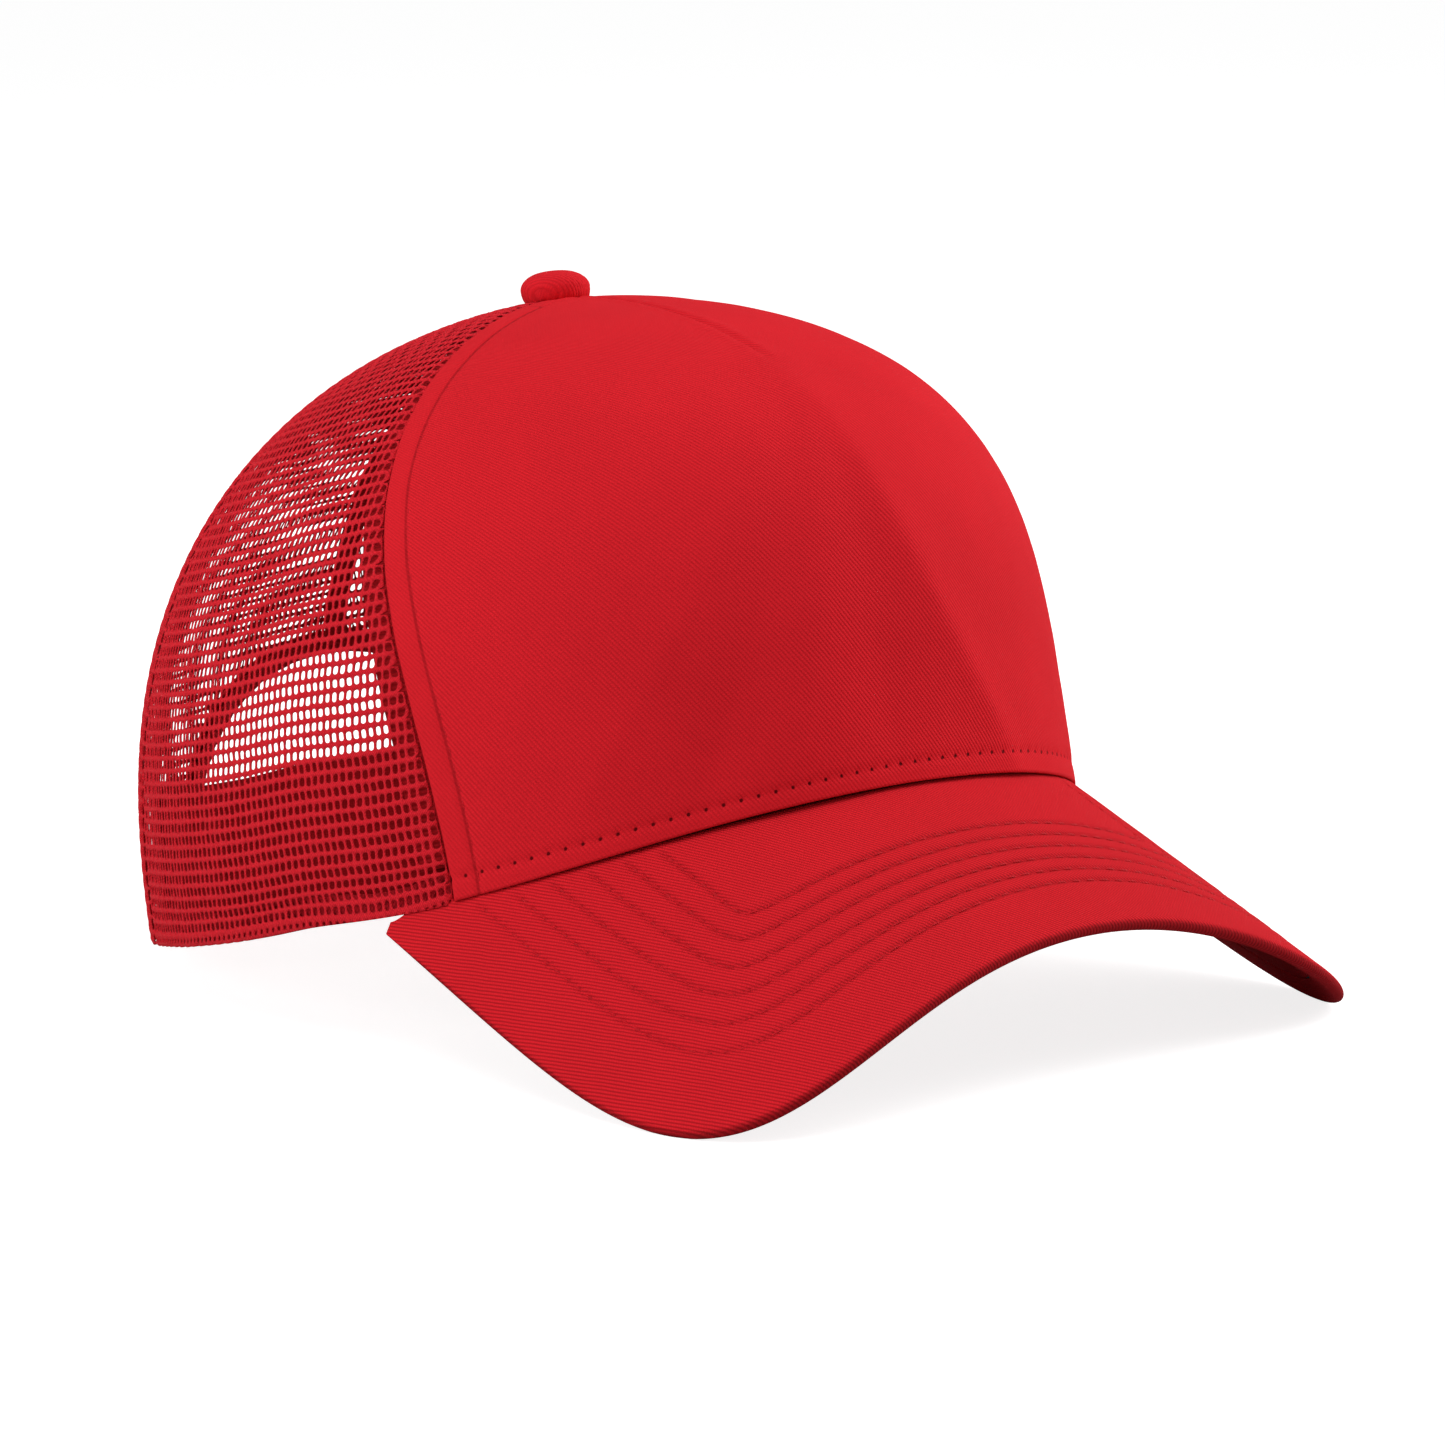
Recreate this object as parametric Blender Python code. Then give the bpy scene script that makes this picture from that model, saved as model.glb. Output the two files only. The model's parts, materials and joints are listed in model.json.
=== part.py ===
"""Five-panel trucker cap: one stiffened twill front panel, four mesh panels, curved visor, snap strap.

Every piece is modelled in the cap's own frame: the edge that goes round the head lies in z = 0, the
front points to -Y and the wearer's left is +X. An empty then tips the cap forward edge up, until it
rests on the visor's two corners and the back of the hem, with z = 0 as the table.

Angles round the crown are in degrees from the centre of the front, positive to the wearer's left.
"Climb" is the distance up the crown from the hem, and "depth" is the distance in from the outer skin.
"""

import math
from functools import lru_cache

import bmesh
import bpy
import numpy as np
from mathutils import Vector, geometry

MM = 0.001

# Head opening, outer skin, and crown
HALF_WIDTH = 88.4 * MM
FRONT_REACH = 102.5 * MM
REAR_REACH = 99.3 * MM
PLAN_POWER = 2.06
CROWN_HEIGHT = 115.7 * MM
BUTTON_FORWARD = 11.0 * MM
# Powers of the crown's side view: how square its shoulders are at the front, side, rear and quarter
RISE_POWER = {"front": 4.33, "side": 2.33, "rear": 2.82, "quarter": 0.62}
ROUND_POWER = {"front": 1.50, "side": 2.14, "rear": 1.95, "quarter": -0.13}
TOP_HOLE_RADIUS = 3.6 * MM
# Reach, round and up the crown, of the differences that give the skin's normal
NORMAL_TURN = 0.5
NORMAL_STEP = 0.4 * MM

# Seams between the panels
FRONT_SEAM = 56.9
FRONT_SEAM_SWELL = 0.13
SIDE_SEAM = 116.0
BACK_SEAM = 180.0
HALF_SEAM_GAP = 0.2 * MM

# Layers, as depths in from the outer skin
SKIN = (0.0, 0.7 * MM)
BACKING = (1.1 * MM, 1.6 * MM)
TAPE = (2.1 * MM, 2.6 * MM)
SWEATBAND = (3.1 * MM, 4.3 * MM)
SWEATBAND_HEIGHT = 33 * MM
SWEATBAND_END = 147.0
TAPE_HALF_WIDTH = 6.2 * MM
CENTRE_TAPE_HALF_WIDTH = 3 * MM
TAPE_END_RADIUS = 9 * MM
TAPE_END_TAPER = 17.0

# Arched opening at the back
ARCH_HALF_ANGLE = 31.0
ARCH_HEIGHT = 54 * MM
BINDING_WIDTH = 4.5 * MM
BINDING_ANGLE = 2.7

# Visor
VISOR_LENGTH = 45.8 * MM
VISOR_HALF_WIDTH = 82.0 * MM
VISOR_BEND_RADIUS = 95.0 * MM
VISOR_PITCH = 30.6
VISOR_ROOT_HEIGHT = 12.9 * MM
VISOR_OUTLINE_POWER = 4.73
VISOR_PAST_SEAM = 8.0
VISOR_GAP = 0.4 * MM
VISOR_FULL_EDGE_LENGTH = 14 * MM
VISOR_THICKNESS = 2.7 * MM
VISOR_COVER_THICKNESS = 0.5 * MM
VISOR_LAYER_GAP = 0.3 * MM
VISOR_TURN_UNDER = 5 * MM
VISOR_SECTIONS = 39
HEM_LEVELS_AT = 77.0
HEM_LEVELS_OVER = 4.0
HEM_FLAT_FROM = 100.0

# Snap strap
STRAP_HEIGHT = 18 * MM
STRAP_LOW_EDGE = 3.5 * MM
STRAP_START = 43.5 * MM
STRAP_PAST_CENTRE = 23 * MM
STRAP_TIP_RADIUS = 6 * MM
STRAP_STEP = 4.5 * MM
SNAP_PITCH = 9 * MM
SNAP_COUNT = 7
SNAPS_PAST_CENTRE = 2
HOLE_RADIUS = 2.7 * MM
PEG_RADIUS = 2.1 * MM
PEG_LENGTH = 2.2 * MM
SNAP_SEGMENTS = 16
HOLE_STRAP_DEPTH = (1.2 * MM, 2.4 * MM)
PEG_STRAP_DEPTH = (2.8 * MM, 4.0 * MM)
HINGE_INSET = 0.5 * MM

# Covered button
TURNED_SEGMENTS = 24
BUTTON_RADIUS = 6.75 * MM
BUTTON_HEIGHT = 5.8 * MM
BUTTON_CLOTH = 0.6 * MM
BUTTON_REST = 0.4 * MM
DOME_WAIST_SHARE = 0.35
DOME_ROUND = 0.8
DOME_STEPS = 5
DOME_TUCK = 0.9 * MM
SHELL_GAP = 0.35 * MM
SHELL_WALL = 0.5 * MM
PLATE_BASE = 1.2 * MM
PLATE_THICKNESS = 0.6 * MM
PLATE_INSET = 1.9 * MM
SHANK_RADIUS = 1.5 * MM
SHANK_FLARE = 2.6 * MM
SHANK_BOTTOM = -3.9 * MM
WASHER_BORE = 1.9 * MM
WASHER_RADIUS = 6.5 * MM
WASHER_TOP = -2.6 * MM
SHEET_STEEL = 0.5 * MM

RED_CLOTH = (0.68, 0.016, 0.027, 1.0)
RED_MESH = (0.60, 0.012, 0.022, 1.0)
RED_PLASTIC = (0.52, 0.010, 0.018, 1.0)
STIFFENER_WHITE = (0.80, 0.79, 0.76, 1.0)
BOARD_GREY = (0.30, 0.30, 0.31, 1.0)
STEEL = (0.62, 0.62, 0.64, 1.0)


# ---------------------------------------------------------------- crown surface


def signed_power(value, power):
    return np.sign(value) * np.abs(value) ** power


def blend_round(angle, values):
    """Blend a value between the front, side and rear, with an extra share at the front quarters."""
    c = np.cos(np.radians(angle))
    s = np.sin(np.radians(angle))
    end = np.where(c > 0, values["front"], values["rear"])
    quarter = np.where(c > 0, (2 * c * s) ** 2, 0.0)
    return values["side"] + (end - values["side"]) * c**2 + values["quarter"] * quarter


def plan(angle):
    """The hem seen from above: x, and how far forward of the opening's centre."""
    a = np.radians(angle)
    reach = np.where(np.cos(a) > 0, FRONT_REACH, REAR_REACH)
    x = HALF_WIDTH * signed_power(np.sin(a), 2 / PLAN_POWER)
    return x, reach * signed_power(np.cos(a), 2 / PLAN_POWER)


def visor_height(x, forward):
    """The visor bends round a cylinder that slopes down to the front."""
    sag = VISOR_BEND_RADIUS - np.sqrt(VISOR_BEND_RADIUS**2 - x**2)
    drop = (forward - FRONT_REACH) * math.tan(math.radians(VISOR_PITCH))
    return VISOR_ROOT_HEIGHT - sag - drop


def hem_height(angle):
    """The hem follows the visor's curve at the front and is flat round the sides and back."""
    around = np.abs(angle)
    x, forward = plan(angle)
    share = 1 / (1 + np.exp((around - HEM_LEVELS_AT) / HEM_LEVELS_OVER))
    return np.where(around < HEM_FLAT_FROM, visor_height(x, forward) * share, 0.0)


def crown_raw(angle, elevation):
    """Outer skin by elevation angle: 0 at the hem, a quarter turn at the top."""
    x, forward = plan(angle)
    low = hem_height(angle)
    spread = np.cos(elevation) ** (2 / blend_round(angle, ROUND_POWER))
    rise = np.sin(elevation) ** (2 / blend_round(angle, RISE_POWER))
    ahead = BUTTON_FORWARD + (forward - BUTTON_FORWARD) * spread
    return np.stack([x * spread, -ahead, low + (CROWN_HEIGHT - low) * rise], axis=-1)


ELEVATIONS = np.linspace(0, math.pi / 2, 361) ** 2 / (math.pi / 2)


@lru_cache(maxsize=None)
def profile(angle):
    """One line up the crown: distances climbed, and the points they reach."""
    points = crown_raw(angle, ELEVATIONS)
    steps = np.linalg.norm(np.diff(points, axis=0), axis=1)
    return np.concatenate([[0.0], np.cumsum(steps)]), points


def on_crown(angle, climb):
    distances, points = profile(round(float(angle), 7))
    return np.array([np.interp(climb, distances, points[:, k]) for k in range(3)])


def crown_length(angle):
    return profile(round(float(angle), 7))[0][-1]


def crown_radius(angle, share):
    """Distance from the button's axis at a share of the way up."""
    point = on_crown(angle, share * crown_length(angle))
    return math.hypot(point[0], point[1] + BUTTON_FORWARD)


def under_skin(angle, climb, depth):
    """A point at a depth under the outer skin."""
    length = crown_length(angle)
    share = climb / length
    turn = NORMAL_TURN
    step = NORMAL_STEP
    left = on_crown(angle - turn, share * crown_length(angle - turn))
    right = on_crown(angle + turn, share * crown_length(angle + turn))
    low = on_crown(angle, max(climb - step, 0.0))
    high = on_crown(angle, min(climb + step, length))
    normal = np.cross(right - left, high - low)
    if climb == 0:
        normal[2] = 0.0  # the crown stands upright at the hem, so every rim is flat
    return on_crown(angle, climb) - depth * normal / np.linalg.norm(normal)


def front_seam(share):
    """The front panel's edge swells out halfway up the crown."""
    angle = FRONT_SEAM
    for _ in range(4):
        distances = profile(round(angle, 7))[0]
        elevation = np.interp(share * distances[-1], distances, ELEVATIONS)
        angle = FRONT_SEAM * (1 + FRONT_SEAM_SWELL * math.sin(2 * elevation))
    return angle


def sideways(angle, share, distance):
    """Turn an angle round the crown by a distance along the skin."""
    return angle + math.degrees(distance / crown_radius(angle, share))


def top_share(angle):
    """How far up a panel goes before the hole under the button."""
    return 1 - TOP_HOLE_RADIUS / crown_length(angle)


# ---------------------------------------------------------------- making objects


def material(name, colour, roughness, metallic=0.0):
    made = bpy.data.materials.new(name)
    made.use_nodes = True
    shader = made.node_tree.nodes["Principled BSDF"]
    shader.inputs["Base Color"].default_value = colour
    shader.inputs["Roughness"].default_value = roughness
    shader.inputs["Metallic"].default_value = metallic
    return made


def add_object(name, bm, finish, origin=(0, 0, 0)):
    """Close the mesh work, with faces pointing out and the object's origin where it is asked for."""
    bmesh.ops.recalc_face_normals(bm, faces=bm.faces)
    bmesh.ops.translate(bm, verts=bm.verts, vec=-Vector(origin))
    mesh = bpy.data.meshes.new(name)
    bm.to_mesh(mesh)
    bm.free()
    mesh.shade_smooth()
    mesh.set_sharp_from_angle(angle=math.radians(40))
    mesh.materials.append(finish)
    made = bpy.data.objects.new(name, mesh)
    made.location = origin
    made.parent = cap
    bpy.context.collection.objects.link(made)
    return made


def bridge_rings(bm, first, second):
    for k in range(len(first)):
        after = (k + 1) % len(first)
        bm.faces.new((first[k], first[after], second[after], second[k]))


def loft(name, rings, finish):
    """A closed body through equal rings of points, with both ends filled."""
    bm = bmesh.new()
    rows = [[bm.verts.new(point) for point in ring] for ring in rings]
    for first, second in zip(rows, rows[1:]):
        bridge_rings(bm, first, second)
    bm.faces.new(rows[0])
    bm.faces.new(rows[-1])
    bmesh.ops.triangulate(bm, faces=[face for face in bm.faces if len(face.verts) > 4])
    return add_object(name, bm, finish)


def layer(name, grid, depths, finish):
    """A sheet of cloth: grid rows of (angle, climb), between two depths under the skin."""
    rings = []
    for row in grid:
        outside = [under_skin(angle, climb, depths[0]) for angle, climb in row]
        inside = [under_skin(angle, climb, depths[1]) for angle, climb in reversed(row)]
        rings.append(outside + inside)
    bm = bmesh.new()
    rows = [[bm.verts.new(point) for point in ring] for ring in rings]
    for first, second in zip(rows, rows[1:]):
        bridge_rings(bm, first, second)
    for ring in (rows[0], rows[-1]):
        for k in range(len(ring) // 2 - 1):
            bm.faces.new((ring[k], ring[k + 1], ring[-2 - k], ring[-1 - k]))
    return add_object(name, bm, finish)


def turned(name, outline, finish):
    """A solid of revolution about the button's axis, from a closed outline of (radius, height)."""
    bm = bmesh.new()
    rings = []
    for radius, height in outline:
        turns = 1 if radius == 0 else TURNED_SEGMENTS
        ring = []
        for k in range(turns):
            a = 2 * math.pi * k / turns
            ring.append(bm.verts.new((
                radius * math.cos(a),
                radius * math.sin(a) - BUTTON_FORWARD,
                CROWN_HEIGHT + height,
            )))
        rings.append(ring)
    for first, second in zip(rings, rings[1:] + rings[:1]):
        if len(first) == len(second) == 1:
            continue
        if len(first) == 1 or len(second) == 1:
            pole, ring = (first[0], second) if len(first) == 1 else (second[0], first)
            for k in range(TURNED_SEGMENTS):
                bm.faces.new((pole, ring[k], ring[(k + 1) % TURNED_SEGMENTS]))
        else:
            bridge_rings(bm, first, second)
    return add_object(name, bm, finish)


# ---------------------------------------------------------------- crown pieces


def panel_grid(left_edge, right_edge, columns, rows):
    """Rows of (angle, climb) between two edges, each a function of the share climbed."""
    grid = []
    for share in np.linspace(0, 1, rows + 1):
        row = []
        for part in np.linspace(0, 1, columns + 1):
            angle = left_edge(share) * (1 - part) + right_edge(share) * part
            row.append((angle, share * top_share(angle) * crown_length(angle)))
        grid.append(row)
    return grid


def seam_edge(seam, distance):
    """A panel edge that stays a fixed distance to the side of a seam."""
    return lambda share: sideways(seam(share), share * top_share(90.0), distance)


def mirrored(grid, side):
    return [[(side * angle, climb) for angle, climb in row] for row in grid]


def front_layers():
    right = seam_edge(front_seam, -HALF_SEAM_GAP)
    grid = panel_grid(lambda share: -right(share), right, 18, 18)
    layer("front_panel", grid, SKIN, material("front_twill", RED_CLOTH, 0.85))
    layer("front_buckram", grid, BACKING, material("buckram", STIFFENER_WHITE, 0.9))


def side_mesh(name, side):
    near = seam_edge(front_seam, HALF_SEAM_GAP)
    far = seam_edge(lambda share: SIDE_SEAM, -HALF_SEAM_GAP)
    grid = mirrored(panel_grid(near, far, 9, 16), side)
    layer(name, grid, SKIN, material(name + "_knit", RED_MESH, 0.8))


def rear_mesh(name, side):
    """Each rear panel's lower edge runs along the hem, then up the arch to the centre back."""
    hem_angles = np.linspace(SIDE_SEAM, BACK_SEAM - ARCH_HALF_ANGLE, 5)[:-1]
    columns = [(angle, 0.0) for angle in hem_angles]
    for a in np.linspace(0, math.pi / 2, 10):
        columns.append((BACK_SEAM - ARCH_HALF_ANGLE * math.cos(a), ARCH_HEIGHT * math.sin(a)))
    grid = []
    for part in np.linspace(0, 1, 13):
        row = []
        for k, (angle, low) in enumerate(columns):
            climb = low + part * (top_share(angle) * crown_length(angle) - low)
            share = climb / crown_length(angle)
            if k == 0:
                angle = sideways(angle, share, HALF_SEAM_GAP)
            if k == len(columns) - 1:
                angle = sideways(angle, share, -HALF_SEAM_GAP)
            row.append((angle, climb))
        grid.append(row)
    layer(name, mirrored(grid, side), SKIN, material(name + "_knit", RED_MESH, 0.8))


def seam_tape(name, seam, side, half_width=TAPE_HALF_WIDTH, low_climb=0.0):
    """A ribbon centred on a seam, narrowed near the top so the five ribbons don't meet."""
    top = 1 - TAPE_END_RADIUS / crown_length(seam(1))
    low = low_climb / crown_length(seam(0))
    grid = []
    for share in np.linspace(low, top, 15):
        centre = seam(share)
        half = math.degrees(half_width / crown_radius(centre, share))
        half = min(half, TAPE_END_TAPER)
        row = []
        for part in (-1, -1 / 3, 1 / 3, 1):
            angle = centre + part * half
            row.append((angle, share * crown_length(angle)))
        grid.append(row)
    layer(name, mirrored(grid, side), TAPE, material(name + "_ribbon", RED_CLOTH, 0.8))


def arch_binding():
    grid = []
    for a in np.linspace(0, math.pi, 25):
        row = []
        for part in (0, 1):
            half = ARCH_HALF_ANGLE + part * BINDING_ANGLE
            height = ARCH_HEIGHT + part * BINDING_WIDTH
            row.append((BACK_SEAM - half * math.cos(a), height * math.sin(a)))
        grid.append(row)
    layer("arch_binding", grid, BACKING, material("binding_ribbon", RED_CLOTH, 0.8))


def sweatband():
    grid = []
    for angle in np.linspace(-SWEATBAND_END, SWEATBAND_END, 53):
        grid.append([(angle, climb) for climb in np.linspace(0, SWEATBAND_HEIGHT, 4)])
    layer("sweatband", grid, SWEATBAND, material("sweatband_cotton", RED_CLOTH, 0.9))


# ---------------------------------------------------------------- visor


def visor_outline(turn):
    """The visor's outer edge seen from above, from its right corner (-90) to its left (90)."""
    root = plan(FRONT_SEAM + VISOR_PAST_SEAM)[1]
    a = np.radians(turn)
    x = VISOR_HALF_WIDTH * signed_power(np.sin(a), 2 / VISOR_OUTLINE_POWER)
    reach = FRONT_REACH + VISOR_LENGTH - root
    return np.stack([x, root + reach * np.abs(np.cos(a)) ** (2 / VISOR_OUTLINE_POWER)], axis=-1)


def visor_outline_point(share):
    """Outer edge point at a share of its length."""
    turns = np.sin(np.linspace(-math.pi / 2, math.pi / 2, 721)) * 90
    points = visor_outline(turns)
    steps = np.linalg.norm(np.diff(points, axis=0), axis=1)
    distances = np.concatenate([[0.0], np.cumsum(steps)])
    return np.array([np.interp(share * distances[-1], distances, points[:, k]) for k in (0, 1)])


def plan_outward(angle):
    """Unit normal of the hem's plan curve, pointing away from the head."""
    step = 0.1
    along = np.array(plan(angle + step)) - np.array(plan(angle - step))
    along = along / np.linalg.norm(along)
    return np.array([-along[1], along[0]])


def visor_root_point(share):
    """Inner edge point, just outside the crown's hem."""
    angle = (2 * share - 1) * (FRONT_SEAM + VISOR_PAST_SEAM)
    return np.array(plan(angle)) + VISOR_GAP * plan_outward(angle)


def under_visor(x, forward, depth):
    """A point at a depth under the visor's upper face."""
    slope_x = -x / math.sqrt(VISOR_BEND_RADIUS**2 - x**2)
    slope_forward = -math.tan(math.radians(VISOR_PITCH))
    normal = np.array([-slope_x, slope_forward, 1.0])
    point = np.array([x, -forward, visor_height(x, forward) - VISOR_GAP])
    return point - depth * normal / np.linalg.norm(normal)


def visor_layer(name, section, finish):
    """Sweep a section round the visor: points are (share of the way to the root, inset, depth)."""
    rings = []
    for share in np.linspace(0, 1, VISOR_SECTIONS):
        outer = visor_outline_point(share)
        root = visor_root_point(share)
        length = np.linalg.norm(root - outer)
        shrink = min(1.0, length / VISOR_FULL_EDGE_LENGTH)
        ring = []
        for root_share, inset, depth in section:
            place = outer + (root - outer) * (root_share + inset * shrink / length)
            ring.append(under_visor(place[0], place[1], depth))
        rings.append(ring)
    return loft(name, rings, finish)


def visor_run(depth, inset=0.0, inward=True):
    """Section points between the root and the outer edge, at one depth."""
    shares = np.linspace(0, 1, 5)[1:]
    run = [(share, inset * (1 - share), depth) for share in shares]
    return run if inward else run[::-1]


def rolled_edge(inset, top, bottom, steps=4):
    """Section points round a half circle at the outer edge, from its top to its bottom."""
    radius = (bottom - top) / 2
    points = []
    for a in np.linspace(0, math.pi, steps + 1):
        points.append((0.0, inset + radius * (1 - math.sin(a)), top + radius * (1 - math.cos(a))))
    return points


def visor():
    cloth = VISOR_COVER_THICKNESS
    top_cover = visor_run(0.0, inward=False) + rolled_edge(0.0, 0.0, VISOR_THICKNESS)
    top_cover += [(0.0, VISOR_TURN_UNDER, VISOR_THICKNESS)]
    top_cover += [(0.0, VISOR_TURN_UNDER, VISOR_THICKNESS - cloth)]
    top_cover += rolled_edge(cloth, cloth, VISOR_THICKNESS - cloth)[::-1]
    top_cover += visor_run(cloth)
    visor_layer("visor_top_cover", top_cover, material("visor_twill", RED_CLOTH, 0.85))

    top = cloth + VISOR_LAYER_GAP
    bottom = VISOR_THICKNESS - top
    board = visor_run(top, inward=False) + rolled_edge(top, top, bottom) + visor_run(bottom)
    visor_layer("visor_board", board, material("visor_plastic", BOARD_GREY, 0.5))

    inset = VISOR_TURN_UNDER + VISOR_LAYER_GAP
    under = visor_run(VISOR_THICKNESS - cloth, inset, inward=False)
    under += [(0.0, inset, VISOR_THICKNESS - cloth), (0.0, inset, VISOR_THICKNESS)]
    under += visor_run(VISOR_THICKNESS, inset)
    visor_layer("visor_bottom_cover", under, material("visor_lining", RED_CLOTH, 0.85))


# ---------------------------------------------------------------- snap strap


@lru_cache(maxsize=None)
def rear_run():
    """Angles on the wearer's left of the centre back, and their distances along the hem."""
    angles = np.linspace(BACK_SEAM - 45, BACK_SEAM + 45, 721)
    steps = np.linalg.norm(np.diff(np.stack(plan(angles), axis=-1), axis=0), axis=1)
    distances = np.concatenate([[0.0], np.cumsum(steps)])
    return angles, np.interp(BACK_SEAM, angles, distances) - distances


def strap_point(along, height, depth):
    """A point of the strap; along is the distance from the centre back to the wearer's left."""
    angles, distances = rear_run()
    angle = np.interp(along, distances[::-1], angles[::-1])
    place = np.array(plan(angle)) - depth * plan_outward(angle)
    return Vector((place[0], -place[1], height))


def circle(centre, radius):
    points = []
    for k in range(SNAP_SEGMENTS):
        a = 2 * math.pi * (k + 0.5) / SNAP_SEGMENTS
        points.append((centre[0] + radius * math.cos(a), centre[1] + radius * math.sin(a)))
    return points


def strap_outline():
    """Flat outline from the sewn end, at STRAP_START, to the rounded tip past the centre back."""
    low = STRAP_LOW_EDGE
    high = low + STRAP_HEIGHT
    tip = -STRAP_PAST_CENTRE + STRAP_TIP_RADIUS
    straight = list(np.linspace(STRAP_START, tip, round((STRAP_START - tip) / STRAP_STEP) + 1))
    outline = [(along, low) for along in straight]
    for a in np.linspace(0, math.pi / 2, 5)[1:]:
        outline.append((tip - STRAP_TIP_RADIUS * math.sin(a), low + STRAP_TIP_RADIUS * (1 - math.cos(a))))
    outline += [(along, low + high - height) for along, height in reversed(outline)]
    return outline


def snap_centres():
    middle = STRAP_LOW_EDGE + STRAP_HEIGHT / 2
    return [((k - SNAPS_PAST_CENTRE) * SNAP_PITCH, middle) for k in range(SNAP_COUNT)]


def inside_circle(point, centre, radius):
    return math.hypot(point[0] - centre[0], point[1] - centre[1]) < radius


def strap(name, side, depths, snap_radius, peg_length, finish):
    """A curved strap with a row of round snaps: holes, or pegs when peg_length isn't zero."""
    loops = [strap_outline()] + [circle(centre, snap_radius) for centre in snap_centres()]
    points = []
    edges = []
    for loop in loops:
        first = len(points)
        points += loop
        edges += [(first + k, first + (k + 1) % len(loop)) for k in range(len(loop))]
    flat = [Vector(point) for point in points]
    found = geometry.delaunay_2d_cdt(flat, edges, [], 1, 1e-7)
    places, triangles = found[0], found[2]

    bm = bmesh.new()
    outside = [bm.verts.new(strap_point(side * p.x, p.y, depths[0])) for p in places]
    inside = [bm.verts.new(strap_point(side * p.x, p.y, depths[1])) for p in places]
    border = {}
    pegs = [[] for _ in snap_centres()]
    for triangle in triangles:
        middle = sum((places[k] for k in triangle), Vector((0, 0))) / 3
        snap = [k for k, c in enumerate(snap_centres()) if inside_circle(middle, c, snap_radius)]
        if snap and not peg_length:
            continue
        face = bm.faces.new([outside[k] for k in triangle])
        bm.faces.new([inside[k] for k in reversed(triangle)])
        if snap:
            pegs[snap[0]].append(face)
        for k in range(3):
            edge = (triangle[k], triangle[(k + 1) % 3])
            if edge[::-1] in border:
                del border[edge[::-1]]
            else:
                border[edge] = True
    for a, b in border:
        bm.faces.new((outside[b], outside[a], inside[a], inside[b]))
    bmesh.ops.recalc_face_normals(bm, faces=bm.faces)
    for faces, centre in zip(pegs, snap_centres()):
        if not faces:
            continue
        grown = bmesh.ops.extrude_face_region(bm, geom=faces)["geom"]
        bmesh.ops.delete(bm, geom=faces, context="FACES")
        lift = strap_point(side * centre[0], centre[1], depths[0] - peg_length)
        lift -= strap_point(side * centre[0], centre[1], depths[0])
        tops = [item for item in grown if isinstance(item, bmesh.types.BMVert)]
        bmesh.ops.translate(bm, verts=tops, vec=lift)
    middle = (depths[0] + depths[1]) / 2
    hinge = strap_point(side * (STRAP_START - HINGE_INSET), snap_centres()[0][1], middle)
    add_object(name, bm, finish, origin=hinge)


# ---------------------------------------------------------------- covered button


def dome(wide_radius, base, top):
    """Half an outline of a bulging dome, from its rim up to the axis."""
    waist = base + (top - base) * DOME_WAIST_SHARE
    points = [(wide_radius - DOME_TUCK, base)]
    for a in np.linspace(0, math.pi / 2, DOME_STEPS + 1)[:-1]:
        radius = wide_radius * math.cos(a) ** DOME_ROUND
        points.append((radius, waist + (top - waist) * math.sin(a)))
    return points + [(0, top)]


def button():
    """A steel shell covered in cloth, held by a flared shank and a washer inside the crown."""
    outer = dome(BUTTON_RADIUS, BUTTON_REST, BUTTON_HEIGHT)
    inner = dome(BUTTON_RADIUS - BUTTON_CLOTH, BUTTON_REST, BUTTON_HEIGHT - BUTTON_CLOTH)
    turned("button_cover", outer + inner[::-1], material("button_twill", RED_CLOTH, 0.85))

    steel = material("button_steel", STEEL, 0.35, 1.0)
    wide = BUTTON_RADIUS - BUTTON_CLOTH - SHELL_GAP
    top = BUTTON_HEIGHT - BUTTON_CLOTH - SHELL_GAP
    outer = dome(wide, PLATE_BASE, top)
    inner = dome(wide - SHELL_WALL, PLATE_BASE, top - SHELL_WALL)
    turned("button_shell", outer + inner[::-1], steel)

    plate = wide - PLATE_INSET
    plate_top = PLATE_BASE + PLATE_THICKNESS
    flare_top = SHANK_BOTTOM + SHEET_STEEL
    shank = [(0, plate_top), (plate, plate_top), (plate, PLATE_BASE), (SHANK_RADIUS, PLATE_BASE)]
    shank += [(SHANK_RADIUS, flare_top), (SHANK_FLARE, flare_top)]
    shank += [(SHANK_FLARE, SHANK_BOTTOM), (0, SHANK_BOTTOM)]
    turned("button_shank", shank, steel)

    base = WASHER_TOP - SHEET_STEEL
    washer = [(WASHER_BORE, WASHER_TOP), (WASHER_RADIUS, WASHER_TOP)]
    washer += [(WASHER_RADIUS, base), (WASHER_BORE, base)]
    turned("button_washer", washer, steel)


# ---------------------------------------------------------------- whole cap


def all_points():
    bpy.context.view_layer.update()
    points = []
    for piece in cap.children:
        points += [piece.matrix_world @ vertex.co for vertex in piece.data.vertices]
    return np.array(points)


def tip_onto_table():
    """Tip the front up until the visor's corners are as low as the back of the hem."""
    points = all_points()
    ahead = points[points[:, 1] < -FRONT_REACH / 4]
    behind = points[points[:, 1] > REAR_REACH / 4]
    flat, steep = 0.0, math.radians(30)
    for _ in range(40):
        tilt = (flat + steep) / 2
        turn = np.array([math.sin(-tilt), math.cos(-tilt)])
        if (ahead[:, 1:] @ turn).min() < (behind[:, 1:] @ turn).min():
            flat = tilt
        else:
            steep = tilt
    cap.rotation_euler.x = -tilt
    points = all_points()
    low, high = points.min(axis=0), points.max(axis=0)
    cap.location = (0, -(low[1] + high[1]) / 2, -low[2])


for existing in list(bpy.data.objects):
    bpy.data.objects.remove(existing, do_unlink=True)
cap = bpy.data.objects.new("cap", None)
bpy.context.collection.objects.link(cap)

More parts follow.
